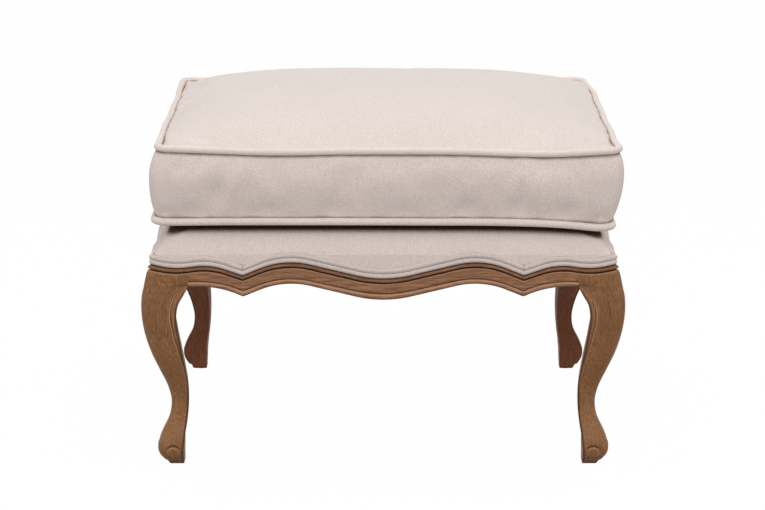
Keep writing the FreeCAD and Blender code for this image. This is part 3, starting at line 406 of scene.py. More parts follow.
def half_section(corner, inner, face, radius, bead, edge, carve, under=0.0):
    """Half a level cut of a leg, from its innermost corner to the outer corner's middle:
    (inset along the front, inset from the front, shade) and outward normals. carve is the depth of
    the carving and under that of the second groove."""
    cut, normal = [], []

    def put(p, q, shade, way):
        cut.append((p, q, shade))
        normal.append(way)

    start = corner + radius
    tip = inner - INNER_TAPER * carve
    for share in np.linspace(0, 1, INNER_COLUMNS):
        put(tip + (inner - tip) * share, tip + (face + edge - tip) * share, 0.0, (1, 0))
    for column in range(1, EDGE_COLUMNS + 1):
        turn = column / EDGE_COLUMNS * pi / 2
        # Painted shade darkens the inner edge; on the post it also marks the dark joint against the apron
        shade = 0.15 * under - 0.8 if column < EDGE_COLUMNS else -0.3
        put(inner - edge + edge * cos(turn), face + edge - edge * sin(turn), shade, (cos(turn), -sin(turn)))
    strip_start, strip_end = inner - edge, bead + STRIP_REACH
    for share, rise in STRIP:
        put(strip_start + (strip_end - strip_start) * share, face - rise * MM * carve, 0.0, (0, -1))
    spread = MM * (0.25 + 0.75 * carve)
    for along, rise, shade, under_rise, under_shade in RIDGE:
        rise += (under_rise - rise) * under
        shade += (under_shade - shade) * under
        put(bead + along * spread, face - rise * MM * carve, shade * carve, (0, -1))
    face_start = bead - FACE_START * spread
    for share in np.linspace(0, 1, FACE_COLUMNS):
        hollow = FACE_HOLLOW * sin(pi * share) * carve
        put(face_start + (start - face_start) * share, face + (corner - face) * share - hollow, 0.0, (0, -1))
    for turn in np.linspace(0, pi / 4, TURN_COLUMNS + 1)[1:]:
        put(start - radius * sin(turn), start - radius * cos(turn), 0.0, (-sin(turn), -cos(turn)))
    return np.array(cut), np.array(normal)


def whole_ring(half_cut, half_normal):
    """Both halves of a leg's cut, which are mirror images about the diagonal."""
    other = half_cut[::-1][1:-1][:, [1, 0, 2]]
    other_normal = half_normal[::-1][1:-1][:, ::-1]
    return np.vstack([half_cut, other]), np.vstack([half_normal, other_normal])


def leg_measures(height):
    return smooth_through(LEG_STATIONS[:, 0], LEG_STATIONS[:, 1:], height)


def leg_mesh(name, flip_x, flip_y):
    front_line, side_line = SIDES[0][-1], SIDES[1][-1]
    rows, shades = [], []

    def put(ring, height):
        rows.append(xyz(ring[:, 0] - HALF_WIDTH, ring[:, 1] - HALF_DEPTH, height))
        shades.append(ring[:, 2])

    # Toe and the underside of the foot
    for corner, inner, radius, height in TOE_RINGS:
        cut = half_section(corner, inner, corner, radius, inner - 3 * MM, TOE_EDGE, 0.0)
        put(whole_ring(*cut)[0], height)

    # Cabriole
    for height in LEG_HEIGHTS:
        corner, inner, face, radius, bead = leg_measures(height)
        carve = ease(height, *CARVING_STARTS) * (0.3 + 0.7 * ease(height, *CARVING_DEEPENS))
        edge = CABRIOLE_EDGE * (1 - ease(height, *EDGE_SHARPENS)) + LEAST_EDGE
        under = ease(height, *SECOND_GROOVE_STARTS)
        cut, normal = half_section(corner, inner, face, radius, bead, edge, carve, under)
        # Painted highlight on the foot and painted shade from the knee up, over the outer faces and corner
        foot_highlight = ease(height, *FOOT_HIGHLIGHT_STARTS) * (1 - ease(height, *FOOT_HIGHLIGHT_ENDS))
        painted_tone = FOOT_HIGHLIGHT * foot_highlight - KNEE_PAINTED_SHADE * ease(height, *KNEE_STARTS)
        cut[1 - FACE_COLUMNS - TURN_COLUMNS:, 2] += painted_tone
        put(whole_ring(cut, normal)[0], height)

    # Post: rows climb from level to the line of the mouldings
    def post_ring(level):
        """A cut of the post, its outward normals and the upper line over each of its points."""
        corner, inner, face, radius, bead = leg_measures(level)
        carve = 1 - ease(level, *CARVING_ENDS)
        cut, normal = half_section(corner, inner, face, radius, bead, LEAST_EDGE, carve, 1.0)
        on_front = np.arange(2 * len(cut) - 2) < len(cut)
        ring, normal = whole_ring(cut, normal)
        line = np.where(on_front, front_line(ring[:, 0] - HALF_WIDTH), side_line(ring[:, 1] - HALF_DEPTH))
        return ring, normal, line

    for step in range(1, POST_STEPS + 1):
        share = step / POST_STEPS
        ring, normal, line = post_ring(HUMP_HEIGHT + share * (BAND_LEVEL - HUMP_HEIGHT))
        # The post keeps the knee's painted shade
        ring[:, 2] -= KNEE_PAINTED_SHADE
        put(ring, HUMP_HEIGHT + share * (line - TOP_BEAD[-1][1] * MM - HUMP_HEIGHT))
    for inset, drop, shade in reversed(TOP_BEAD[:-1]):
        ring, normal, line = post_ring(POST_LEVEL - LEVEL_PER_DROP * drop * MM)
        outer = ring[:, :2] + normal * (BAND_DEPTH - inset * MM)
        inner_face = np.max(ring[:, :2], axis=1) >= POST_WIDTH - 0.05 * MM
        outer = np.where(inner_face[:, None], ring[:, :2], outer)
        put(np.column_stack([outer, np.full(len(ring), shade)]), line - drop * MM)

    # Rebate behind the piping, up to the rail's top
    cut = [(POST_WIDTH, POST_WIDTH + (REBATE_DEPTH - POST_WIDTH) * share, 0.0)
           for share in np.linspace(0, 1, INNER_COLUMNS)]
    rebate_turn = REBATE_DEPTH + REBATE_RADIUS
    flat_columns = EDGE_COLUMNS + len(STRIP) + len(RIDGE) + FACE_COLUMNS
    for share in np.linspace(0, 1, flat_columns + 1)[1:]:
        cut.append((POST_WIDTH + (rebate_turn - POST_WIDTH) * share, REBATE_DEPTH, 0.0))
    for turn in np.linspace(0, pi / 4, TURN_COLUMNS + 1)[1:]:
        cut.append((rebate_turn - REBATE_RADIUS * sin(turn), rebate_turn - REBATE_RADIUS * cos(turn), 0.0))
    ring, _ = whole_ring(np.array(cut), np.zeros((len(cut), 2)))
    put(ring, rows[-1][:, 2])
    put(ring, RAIL_TOP)

    builder = Builder()
    sign = np.array([-1 if flip_x else 1, -1 if flip_y else 1, 1])
    builder.grid(np.stack(rows) * sign, np.stack(shades), wrap_columns=True, caps=True)

    # Scroll discs on the two outer faces
    turns = np.linspace(0, 2 * pi, SCROLL_SIDES, endpoint=False)
    for side_inset, order in ((SCROLL_FACE_INSET, [0, 1, 2]), (SCROLL_SIDE_INSET, [1, 0, 2])):
        outward = np.array([0, -cos(SCROLL_TILT), -sin(SCROLL_TILT)])[order]
        centre = np.array([SCROLL_INSET, side_inset, 0])[order] - (HALF_WIDTH, HALF_DEPTH, -SCROLL_HEIGHT)
        level = unit(np.cross([0, 0, 1], outward))
        up = np.cross(outward, level)
        disc = np.array([[
            centre + outward * rise * MM + (level * cos(t) + up * sin(t)) * radius * MM
            for t in turns] for radius, rise, _ in SCROLL_PROFILE])
        shade = np.array([shade for _, _, shade in SCROLL_PROFILE])
        builder.grid(disc * sign, np.tile(shade[:, None], len(turns)), wrap_columns=True, caps=True)
    return builder.mesh(name, crease=radians(50))


# Double piping

def piping_path():
    """Points at the foot of the piping's face all round, with outward normals and a pinch at cusps."""
    points, normals, pinch = [], [], []
    angles = np.linspace(0, pi / 2, PIPING_TURN_STEPS)[1:-1]
    past, in_from_side = PIPING_TURN * np.sin(angles), PIPING_TURN * (1 - np.cos(angles))
    arc_normals = xyz(np.sin(angles), -np.cos(angles), 0)
    for turn, (half, away, cusp, _, line) in enumerate(SIDES):
        next_half, *_, next_line = SIDES[(turn + 1) % 4]
        x = places_along(cusp, half - PIPING_TURN, step=2.5 * MM, fine=0.4 * MM)
        run = xyz(x, -away, line(x))
        round_x = half - PIPING_TURN + past
        height = np.where(angles < pi / 4, line(round_x), next_line(in_from_side - next_half))
        arc = xyz(round_x, in_from_side - away, height)
        points.append(side_to_world(np.vstack([run, arc]) + (0, 0, PIPING_SEAT), turn))
        normals.append(side_to_world(np.vstack([xyz(0 * x, -1, 0), arc_normals]), turn))
        pinch += [np.exp(-((np.abs(x) - cusp) / PINCH_WIDTH) ** 2), 0 * angles]
    return np.concatenate(points), np.concatenate(normals), np.concatenate(pinch)


def piping_profile():
    """The double welt's cut: (inset, rise, shade, share of the pinch at a mitre)."""
    lower = (
        (PIPING_BACK_INSET / MM, 0.3), (3.4, 0.1), (2.0, 0.35), (0.9, 1.0), (0.3, 1.9), (0.0, 3.1),
        (0.05, 4.3), (0.4, 5.3), (0.9, 6.0), (1.4, 6.6))
    cut = [(inset, rise, 0.0, 0.0) for inset, rise in lower]
    cut.append((1.45, 7.0, 0.0, 0.4))
    cut += [(inset, 14.0 - rise, 0.0, 1.0) for inset, rise in reversed(lower)]
    return np.array(cut) * np.array([MM, MM, 1, 1])


def piping_mesh(name):
    path, normals, pinch = piping_path()
    profile = piping_profile()
    pinch = pinch[:, None] * profile[:, 3]
    points = path[:, None, :] - normals[:, None, :] * (profile[:, 0] + PINCH_DEPTH * pinch)[..., None]
    points[..., 2] += profile[:, 1]
    # Painted shade darkens the pinch at each mitre
    return grid_mesh(name, 60, points, profile[:, 2] - 0.5 * pinch, wrap_rows=True, wrap_columns=True)


def along_path(path, pitch):
    """Places at a pitch along a closed path: fractional indices."""
    closed = np.vstack([path, path[:1]])
    steps = np.linalg.norm(np.diff(closed, axis=0), axis=1)
    run = np.concatenate([[0], np.cumsum(steps)])
    count = int(run[-1] / pitch)
    return np.interp(np.arange(count) * run[-1] / count, run, np.arange(len(closed)))


def on_path(path, index):
    """The point at a fractional index of a closed path."""
    low = int(index) % len(path)
    share = index - int(index)
    return path[low] * (1 - share) + path[(low + 1) % len(path)] * share


def stitch_rings(start, way, side):
    """Rings of a small rounded bar along way from start, which dips at both ends."""
    side = unit(side - way * (side @ way))
    up = np.cross(way, side)
    rings = []
    for along, size in ((0.0, 0.45), (0.15, 0.9), (0.5, 1.0), (0.85, 0.9), (1.0, 0.45)):
        dip = (abs(along - 0.5) * 2) ** 2 * STITCH_RADIUS * 1.2
        centre = start + way * STITCH_LENGTH * along - side * dip
        rings.append([
            centre + (side * cos(t) + up * sin(t)) * STITCH_RADIUS * size
            for t in np.linspace(0, 2 * pi, 6, endpoint=False)])
    return np.array(rings)


def piping_stitches(name):
    path, normals, _ = piping_path()
    builder = Builder()
    valley = path - normals * STITCH_INSET + (0, 0, 2 * PIPING_RADIUS)
    for index in along_path(valley, STITCH_PITCH):
        start = on_path(valley, index)
        way = unit(on_path(valley, (index + 0.9) % len(valley)) - start)
        builder.grid(stitch_rings(start, way, on_path(normals, index)), wrap_columns=True, caps=True)
    return builder.mesh(name)


# Pads on a rounded rectangle

def clustered(count):
    """Shares from 0 to 1, closer together near both ends."""
    share = np.linspace(0, 1, count + 1)
    return share - 0.5 * np.sin(2 * pi * share) / (2 * pi)


def outline(half_x, half_y, radius, counts):
    """Points and outward normals round a rounded rectangle, anticlockwise from the middle of the
    front left corner. counts are the numbers of segments of a long and a short side."""
    points, normals = [], []
    for turn in range(4):
        half, away, count = ((half_x, half_y, counts[0]), (half_y, half_x, counts[1]))[turn % 2]
        flat = half - radius
        reach = flat + radius * pi / 4
        run = (2 * clustered(count)[:-1] - 1) * reach
        angle = np.sign(run) * np.maximum(np.abs(run) - flat, 0) / radius
        x = np.clip(run, -flat, flat) + radius * np.sin(angle)
        y = radius * (1 - np.cos(angle)) - away
        points.append(side_to_world(xyz(x, y, 0), turn))
        normals.append(side_to_world(xyz(np.sin(angle), -np.cos(angle), 0), turn))
    return np.concatenate(points), np.concatenate(normals)


def filled(edge, counts):
    """A grid whose border is a closed edge of outline(), with its inside spread evenly between."""
    nx, ny = counts
    front = edge[: nx + 1]
    right = edge[nx : nx + ny + 1]
    back = edge[nx + ny : 2 * nx + ny + 1][::-1]
    left = np.vstack([edge[2 * nx + ny :], edge[:1]])[::-1]
    u = clustered(nx)[:, None, None]
    v = clustered(ny)[None, :, None]
    corners = (
        (1 - u) * (1 - v) * front[0] + u * (1 - v) * front[-1]
        + (1 - u) * v * back[0] + u * v * back[-1])
    return (
        (1 - v) * front[:, None] + v * back[:, None]
        + (1 - u) * left[None] + u * right[None] - corners)


def border(counts):
    """Indices of a filled grid's border points, in the order of its edge."""
    nx, ny = counts
    index = np.arange((nx + 1) * (ny + 1)).reshape(nx + 1, ny + 1)
    return np.concatenate([index[:-1, 0], index[-1, :-1], index[:0:-1, -1], index[0, :0:-1]])


# Deck

DECK_COUNTS = (84, 66)


def line_over(points):
    """The height of the upper line beside each point of an outline near the frame's faces."""
    x, y = points[:, 0], points[:, 1]
    insets = (HALF_DEPTH + y, HALF_WIDTH - x, HALF_DEPTH - y, HALF_WIDTH + x)
    lines = [side[-1](along) for side, along in zip(SIDES, (x, y, -x, -y))]
    return np.choose(np.argmin(insets, axis=0), lines)


def deck_rings(taken_in=0.0):
    """Level rings of the deck from behind the piping to its top, taken in all round."""
    rim, _ = outline(HALF_WIDTH - RIM_INSET, HALF_DEPTH - RIM_INSET, RIM_RADIUS, DECK_COUNTS)
    foot = line_over(rim) + PIPING_SEAT + 4 * PIPING_RADIUS
    rows = []

    def put(inset, height, radius=RIM_RADIUS):
        inset = inset + taken_in
        ring, ways = outline(HALF_WIDTH - inset, HALF_DEPTH - inset, radius, DECK_COUNTS)
        lean = DECK_SIDE_LEAN * ease(height - foot, 0, DECK_BLEND)
        ring[:, 0] -= lean * ways[:, 0] * np.abs(ways[:, 0])
        ring[:, 2] = height
        rows.append(ring)

    for inset, rise in DECK_HEM:
        put(inset, foot + rise)
    shoulder = DECK_STATIONS[0, 1]
    for share in (0.0, 0.12, 0.24, 0.4, 0.56, 0.72, 0.88):
        put(shoulder - 0.4 * MM * (1 - share) ** 2, foot + 0.8 * MM + (DECK_SHOULDER - foot) * share)
    for height, inset in DECK_STATIONS:
        radius = DECK_CORNER_RADIUS + DECK_CORNER_GROWTH * (inset - shoulder)
        blend = ease(height, DECK_SHOULDER, DECK_SHOULDER + CORNER_BLEND)
        radius = radius * blend + RIM_RADIUS * (1 - blend)
        raised = height + np.maximum(foot + 1.2 * MM - DECK_SHOULDER, 0) * (
            1 - ease(height, DECK_SHOULDER, DECK_SHOULDER + DECK_BLEND))
        put(inset, np.minimum(raised, DECK_TOP) - taken_in, radius)
    return np.stack(rows)


def deck_mesh(name):
    """The fixed cover from behind the piping up over the deck, domed at its edge."""
    wall = deck_rings()
    # A shade of 1 near the piping keeps the deck cloth's painted crevice shade off there
    shade = 1 - ease(wall[..., 2], DECK_SHOULDER + 4 * MM, DECK_SHOULDER + 20 * MM)
    inside = filled(wall[-1], DECK_COUNTS)
    sag_across, sag_deep = (np.sin(pi * clustered(count)) for count in DECK_COUNTS)
    inside[..., 2] -= DECK_SAG * np.outer(sag_across, sag_deep)
    # A short pleat folds the cloth at each corner, just above the piping, with painted shade in its fold
    corners = np.cumsum([0, DECK_COUNTS[0], DECK_COUNTS[1], DECK_COUNTS[0]])
    for corner in corners:
        for row in PLEAT_ROWS:
            deep_in = PLEAT_DEPTH * sin(pi * (row - PLEAT_ROWS[0] + 1) / (len(PLEAT_ROWS) + 1))
            wall[row, corner, :2] -= unit(wall[row, corner, :2]) * deep_in
            shade[row, corner] = -1.0 if row < 11 else -0.4
    builder = Builder()
    builder.grid(wall, shade, wrap_columns=True)
    builder.grid(inside)
    return builder.mesh(name, crease=radians(70))


# Cushion

CUSHION_COUNTS = (92, 72)
ZIP_SHARES = [(z - SEAM_BOTTOM) / (SEAM_TOP - SEAM_BOTTOM) for z in (ZIP_LOW, ZIP_HIGH)]
BOXING_LEVELS = [0.0, 0.06, 0.085, 0.14, 0.22, 0.3, 0.38] + ZIP_SHARES + [
    0.62, 0.7, 0.78, 0.86, 0.915, 0.94, 1.0]

# How far the boxing stands out of the line of its seams: (share of its height, on the front and
# back, on the sides)
SWELL = np.array((
    (0, 0.0, 0.0), (0.06, -0.6, 0.2), (0.12, 0.6, 1.6), (0.22, 2.8, 4.8), (0.4, 6.4, 8.6),
    (0.6, 9.0, 10.0), (0.75, 8.8, 8.8), (0.88, 5.8, 5.2), (0.95, 2.6, 2.2), (1, 0.0, 0.0)))
ZIP_SWELL = 10.25 * MM

# Soft dents in the boxing: (side, place along it, share of the height, width, height, depth)
BOXING_DENTS = (
    (0, -276, 0.78, 18, 12, 2.6), (0, -262, 0.14, 16, 10, 4.2), (0, -224, 0.42, 13, 20, 5.6),
    (0, -203, 0.62, 9, 22, -3.4), (0, -188, 0.5, 9, 26, 3.2), (0, -160, 0.16, 22, 11, 4.4),
    (0, -64, 0.17, 24, 13, 4.8), (0, -30, 0.75, 30, 12, 1.8), (0, 26, 0.15, 18, 10, 4.0),
    (0, 112, 0.18, 19, 14, 5.2), (0, 148, 0.5, 14, 26, 2.8), (0, 178, 0.19, 17, 14, 5.2),
    (0, 206, 0.6, 12, 24, -2.2), (0, 246, 0.17, 22, 13, 5.4), (0, 264, 0.6, 12, 28, 3.2),
    (0, 293, 0.5, 8, 30, 2.6),
    (1, -190, 0.3, 26, 20, 2.4), (1, -90, 0.24, 34, 16, 2.0), (1, 30, 0.3, 30, 22, 2.2),
    (1, 150, 0.24, 30, 18, 2.2), (3, -170, 0.26, 30, 18, 2.4), (3, -40, 0.3, 30, 22, 2.0),
    (3, 80, 0.22, 36, 16, 2.2), (3, 196, 0.34, 24, 22, 2.2),
)

# Dents in the top: (x, y, width, depth of the patch, how deep)
TOP_DENTS = (
    (-180, 130, 60, 40, 1.6), (-250, -150, 46, 36, 2.0), (214, -150, 60, 26, 1.6),
    (120, -60, 90, 40, 1.0), (-60, -190, 70, 20, 1.2), (252, 120, 40, 60, 1.4),
    (10, 60, 110, 60, 0.9),
)

# Waves of the front seams: (place along the front, rise), and the lean of the worn cushion
TOP_SHIFT = 5.5 * MM
TOP_WAVE = (
    (-317, 3.6), (-290, 2.8), (-235, 0.8), (-157, -1.8), (-58, -0.6), (40, -0.4), (98, -1.0),
    (179, -3.4), (221, -4.0), (273, -1.6), (317, 1.4))
BACK_LIFT = 5.5 * MM
BOTTOM_WAVE = (
    (-317, -0.6), (-290, -1.2), (-235, -0.8), (-100, -0.6), (60, -1.0), (160, -1.6), (200, -2.6),
    (230, -4.0), (260, -6.4), (290, -9.2), (317, -8.6))
SIDE_WAVE = (
    (-250, 0.0), (-190, -0.6), (-120, 0.5), (-50, -1.0), (20, 0.1), (90, -0.9), (160, 0.6),
    (250, 0.0))
BACK_CORNER_INSET = 3.5 * MM
FRONT_BULGE = 3.4 * MM
BOTTOM_SHIFTS = (-0.8 * MM, 2.2 * MM)

# Where these come in: ranges of x, and of the depth, which is 0 at the back and 1 at the front
WAVES_DEPTH = (0.12, 0.95)
SIDE_WAVE_X = (285 * MM, 305 * MM)
TOP_SHIFT_DEPTH = (0.02, 0.3)
BULGE_X, BULGE_DEPTH = (220 * MM, 305 * MM), (0.86, 0.97)
CORNER_X, CORNER_DEPTH = (272 * MM, 300 * MM), (0.08, 0.22)
LIFT_X, LIFT_DEPTH = (200 * MM, 300 * MM), (0.0, 0.5)
BOTTOM_SHIFT_X = (100 * MM, 300 * MM)

CLOTH_FRAMES = 20
CLOTH_SETTINGS = {
    "vertex_group_mass": "seams", "quality": 6, "mass": 0.2, "air_damping": 3.0,
    "tension_stiffness": 18, "compression_stiffness": 18, "shear_stiffness": 8,
    "bending_stiffness": 1.2, "shrink_min": -0.02, "shrink_max": -0.02,
    "use_pressure": True, "uniform_pressure_force": 3.2,
}
BOXING_CAP = 3.5 * MM
TOP_CAP = 3 * MM


def smooth_table(table, x):
    """A smooth curve through (place, value) pairs, both in millimetres."""
    places, values = np.array(table, float).T * MM
    return smooth_through(places, values, x)


def seam(points, at_top):
    """Where a seam runs once the cushion is filled: points of a level outline, moved."""
    moved = points.copy()
    x, y = points[:, 0], points[:, 1]
    depth = (HALF_DEPTH - y) / (2 * HALF_DEPTH)
    front = ease(depth, *WAVES_DEPTH)
    beside = ease(np.abs(x), *SIDE_WAVE_X)
    if at_top:
        moved[:, 0] += TOP_SHIFT * ease(depth, *TOP_SHIFT_DEPTH)
        moved[:, 0] += FRONT_BULGE * ease(x, *BULGE_X) * ease(depth, *BULGE_DEPTH)
        moved[:, 0] += smooth_table(SIDE_WAVE, y * np.sign(x)) * beside
        moved[:, 0] -= BACK_CORNER_INSET * np.sign(x) * ease(np.abs(x), *CORNER_X) * (
            1 - ease(depth, *CORNER_DEPTH))
        moved[:, 2] = SEAM_TOP + smooth_table(TOP_WAVE, x) * front
        moved[:, 2] += BACK_LIFT * (1 - ease(depth, *LIFT_DEPTH)) * ease(np.abs(x), *LIFT_X)
    else:
        moved[:, 0] += BOTTOM_SHIFTS[0] + BOTTOM_SHIFTS[1] * ease(x, *BOTTOM_SHIFT_X)
        moved[:, 2] = SEAM_BOTTOM + smooth_table(BOTTOM_WAVE, x) * front
    return moved


def at_zip(points):
    """1 over the back opening, and 0 round the rest of the cushion."""
    return (1 - ease(np.abs(points[:, 0]), ZIP_HALF, ZIP_HALF + ZIP_FADE)) * (points[:, 1] > BACK_FROM)


def crown(x, y, half=SEAM_HALF):
    """Height of the filled top over its seam."""
    u = np.clip(np.abs(x - TOP_SHIFT) / half[0], 0, 1)
    v = np.clip(np.abs(y) / half[1], 0, 1)
    lean = 1 - CROWN_LEAN * np.clip(x / half[0], -1, 1)
    rim = np.minimum((1 - u) * half[0], (1 - v) * half[1])
    full = (CROWN_HEIGHT - CROWN_SAG) * lean * (1 - u**CROWN_POWER) * (1 - v**CROWN_POWER)
    return full * ease(rim, *CROWN_RIM)


def dent(points, normals, level):
    """How far each point of the boxing is dented in, as (levels, columns)."""
    total = np.zeros(points.shape[:2])
    shares = np.array(BOXING_LEVELS)[:, None]
    for side, along, share, wide, high, deep in BOXING_DENTS:
        on_side = normals @ side_to_world(np.array((0.0, -1.0, 0.0)), side)
        place = side_to_world(level, -side)[:, 0]
        near = np.exp(-((place - along * MM) / (wide * MM)) ** 2) * np.clip(on_side, 0, 1)
        rise = (shares - share) * (SEAM_TOP - SEAM_BOTTOM) / (high * MM)
        total += deep * MM * near[None] * np.exp(-rise**2) * np.sin(pi * shares) ** 0.5
    return total


def cushion_forms():
    """The cover before the cloth settles: boxing as (levels, columns, 3) and the top as a grid."""
    level, normals = outline(*SEAM_HALF, SEAM_RADIUS, CUSHION_COUNTS)
    top, bottom = seam(level, True), seam(level, False)
    zip_share = at_zip(level)[:, None]
    sideways = np.abs(normals[:, :1])
    rows = []
    for share in BOXING_LEVELS:
        front_swell, side_swell = (np.interp(share, SWELL[:, 0], swell) * MM for swell in SWELL.T[1:])
        swell = front_swell * (1 - sideways) + side_swell * sideways
        even = ZIP_SWELL * 4 * share * (1 - share)
        filled_out = swell * (1 - zip_share) + even * zip_share
        rows.append(bottom * (1 - share) + top * share + normals * filled_out)
    boxing = np.stack(rows)
    panel = filled(top, CUSHION_COUNTS)
    panel[..., 2] += crown(panel[..., 0], panel[..., 1])
    return boxing, panel, level, normals


def joined_grids(boxing, panel):
    """One sheet of boxing and top: its points, its faces and the ids of both grids."""
    columns = boxing.shape[1]
    box_ids = np.arange(boxing.shape[0] * columns).reshape(-1, columns)
    panel_ids = np.full(panel.shape[0] * panel.shape[1], -1)
    panel_ids[border(CUSHION_COUNTS)] = box_ids[-1]
    inside = np.flatnonzero(panel_ids < 0)
    panel_ids[inside] = box_ids.size + np.arange(len(inside))
    points = np.vstack([boxing.reshape(-1, 3), panel.reshape(-1, 3)[inside]])
    walls = box_ids.ravel()[np.array(grid_faces(*box_ids.shape, wrap_columns=True))]
    tops = panel_ids[np.array(grid_faces(*panel.shape[:2]))][:, ::-1]
    return points, np.vstack([walls, tops]).tolist(), box_ids, panel_ids


def settle(points, faces, held):
    """Cloth that is sewn a little slack between its held seams and filled from inside."""
    mesh = bpy.data.meshes.new("slack_cover")
    mesh.from_pydata(points.tolist(), [], faces)
    piece = placed("slack_cover", mesh)
    piece.vertex_groups.new(name="seams").add(held.tolist(), 1.0, "REPLACE")
    cloth = piece.modifiers.new("cloth", "CLOTH")
    cloth.point_cache.frame_start, cloth.point_cache.frame_end = 1, CLOTH_FRAMES
    cloth.collision_settings.use_collision = False
    cloth.collision_settings.use_self_collision = False
    for key, value in CLOTH_SETTINGS.items():
        setattr(cloth.settings, key, value)
    cloth.settings.effector_weights.gravity = 0
    for step in range(1, CLOTH_FRAMES + 1):
        bpy.context.scene.frame_set(step)
    posed = piece.evaluated_get(bpy.context.evaluated_depsgraph_get()).to_mesh()
    moved = np.empty(len(points) * 3)
    posed.vertices.foreach_get("co", moved)
    bpy.data.objects.remove(piece)
    bpy.data.meshes.remove(mesh)
    bpy.context.scene.frame_set(1)
    return moved.reshape(-1, 3)


def cushion_cover():
    """Boxing, top panel and the level outline of the seams, after the cloth has settled."""
    boxing, panel, level, normals = cushion_forms()
    points, faces, box_ids, panel_ids = joined_grids(boxing, panel)
    zipped = np.flatnonzero(at_zip(level) > 0.5)
    held = np.unique(np.concatenate([box_ids[0], box_ids[-1], box_ids[:, zipped].ravel()]))
    way = settle(points, faces, held) - points
    length = np.maximum(np.linalg.norm(way, axis=1), 1e-9)
    cap = np.full(len(points), TOP_CAP)
    cap[: box_ids.size] = BOXING_CAP
    moved = points + way * (cap * np.tanh(length / cap) / length)[:, None]
    boxing, panel = moved[box_ids], moved[panel_ids].reshape(panel.shape)
    free = (1 - at_zip(level))[None, :]
    boxing = boxing - (dent(boxing, normals, level) * free)[..., None] * normals
    for x, y, wide, long, deep in TOP_DENTS:
        near = ((panel[..., 0] / MM - x) / wide) ** 2 + ((panel[..., 1] / MM - y) / long) ** 2
        panel[..., 2] -= deep * MM * np.exp(-near)
    return boxing, panel, level, normals


def shell(piece, thickness):
    """Smooths a sheet and gives it its thickness, inwards."""
    smooth = piece.modifiers.new("smooth", "SUBSURF")
    smooth.levels = smooth.render_levels = 1
    solid = piece.modifiers.new("thickness", "SOLIDIFY")
    solid.thickness = thickness
    solid.offset = -1


def turned_outward(mesh, centre):
    """The mesh with its faces looking away from a centre."""
    total = sum(face.normal.dot(face.center - centre) * face.area for face in mesh.polygons)
    if total < 0:
        mesh.flip_normals()
    return mesh


def tube_mesh(name, path, normals, radius, sides=16):
    """A closed tube along a nearly level path."""
    turns = np.linspace(0, 2 * pi, sides, endpoint=False)
    across, up = np.cos(turns)[None, :, None], np.sin(turns)[None, :, None]
    ring = normals[:, None, :] * across + np.array([0, 0, 1.0]) * up
    return grid_mesh(name, 38, path[:, None, :] + ring * radius, wrap_rows=True, wrap_columns=True)


def closed_filling(name, walls, lid, counts):
    """A solid filling from its rings of walls and the grid of its top."""
    builder = Builder()
    builder.grid(walls, wrap_columns=True)
    builder.grid(lid)
    builder.grid(filled(walls[0], counts))
    return builder.mesh(name, crease=radians(60))


# Materials

def new_material(name, **principled):
    """A material and its node tree, with values set straight on its shader."""
    material = bpy.data.materials.new(name)
    material.use_nodes = True
    shader = material.node_tree.nodes["Principled BSDF"]
    for key, value in principled.items():
        shader.inputs[key.replace("_", " ")].default_value = value
    return material, material.node_tree


def node(tree, kind, **settings):
    """A node whose inputs and settings get values or other nodes' sockets. _ stands for a space."""
    made = tree.nodes.new(kind)
    for key, value in settings.items():
        socket = made.inputs.get(key.replace("_", " "))
        if socket is None:
            setattr(made, key, value)
        else:
            feed(tree, value, socket)
    return made


def feed(tree, value, socket):
    """Sets an input socket to a value, or links another socket to it."""
    if isinstance(value, bpy.types.NodeSocket):
        tree.links.new(value, socket)
    else:
        socket.default_value = value


def srgb(red, green, blue):
    """A linear colour from screen values of 0 to 255."""
    def linear(value):
        value /= 255
        return value / 12.92 if value <= 0.04045 else ((value + 0.055) / 1.055) ** 2.4
    return (linear(red), linear(green), linear(blue), 1.0)


def stretched(tree, scales):
    """Object coordinates, scaled along each axis."""
    place = node(tree, "ShaderNodeTexCoord").outputs["Object"]
    return node(tree, "ShaderNodeMapping", Vector=place, Scale=scales).outputs["Vector"]


def noise(tree, scales, detail=2.0, roughness=0.5, scale=1.0, distortion=0.0):
    return node(tree, "ShaderNodeTexNoise", Vector=stretched(tree, scales), Scale=scale, Detail=detail,
                Roughness=roughness, Distortion=distortion).outputs["Fac"]


def ramp(tree, value, low, high):
    """value stretched so that low becomes 0 and high 1."""
    return node(tree, "ShaderNodeMapRange", Value=value, From_Min=low, From_Max=high).outputs["Result"]


def mix(tree, factor, first, second, blend="MIX"):
    """Two colours mixed: each is a socket or a colour, and factor a socket or a number."""
    made = node(tree, "ShaderNodeMix", data_type="RGBA", blend_type=blend)
    for key, value in ((0, factor), (6, first), (7, second)):
        feed(tree, value, made.inputs[key])
    return made.outputs[2]


def math_node(tree, operation, first, second):
    made = node(tree, "ShaderNodeMath", operation=operation)
    feed(tree, first, made.inputs[0])
    feed(tree, second, made.inputs[1])
    return made.outputs[0]


def times(tree, first, second):
    return math_node(tree, "MULTIPLY", first, second)


def laid_over(tree, base, value, low, high, share, colour):
    """base under a colour, which grows from none where value is low to a share where it is high."""
    return mix(tree, times(tree, ramp(tree, value, low, high), share), base, colour)


def faded(colour, share):
    """A colour at a share of its brightness."""
    return tuple(min(c * share, 1.0) for c in colour[:3]) + (1.0,)


def shade_of(tree):
    return node(tree, "ShaderNodeAttribute", attribute_name="shade").outputs["Fac"]


def painted(material, base, height, distance, strength):
    """The material, its shader given a colour and bumps."""
    tree = material.node_tree
    shader = tree.nodes["Principled BSDF"]
    tree.links.new(base, shader.inputs["Base Color"])
    made = node(tree, "ShaderNodeBump", Height=height, Distance=distance, Strength=strength)
    tree.links.new(made.outputs["Normal"], shader.inputs["Normal"])
    return material


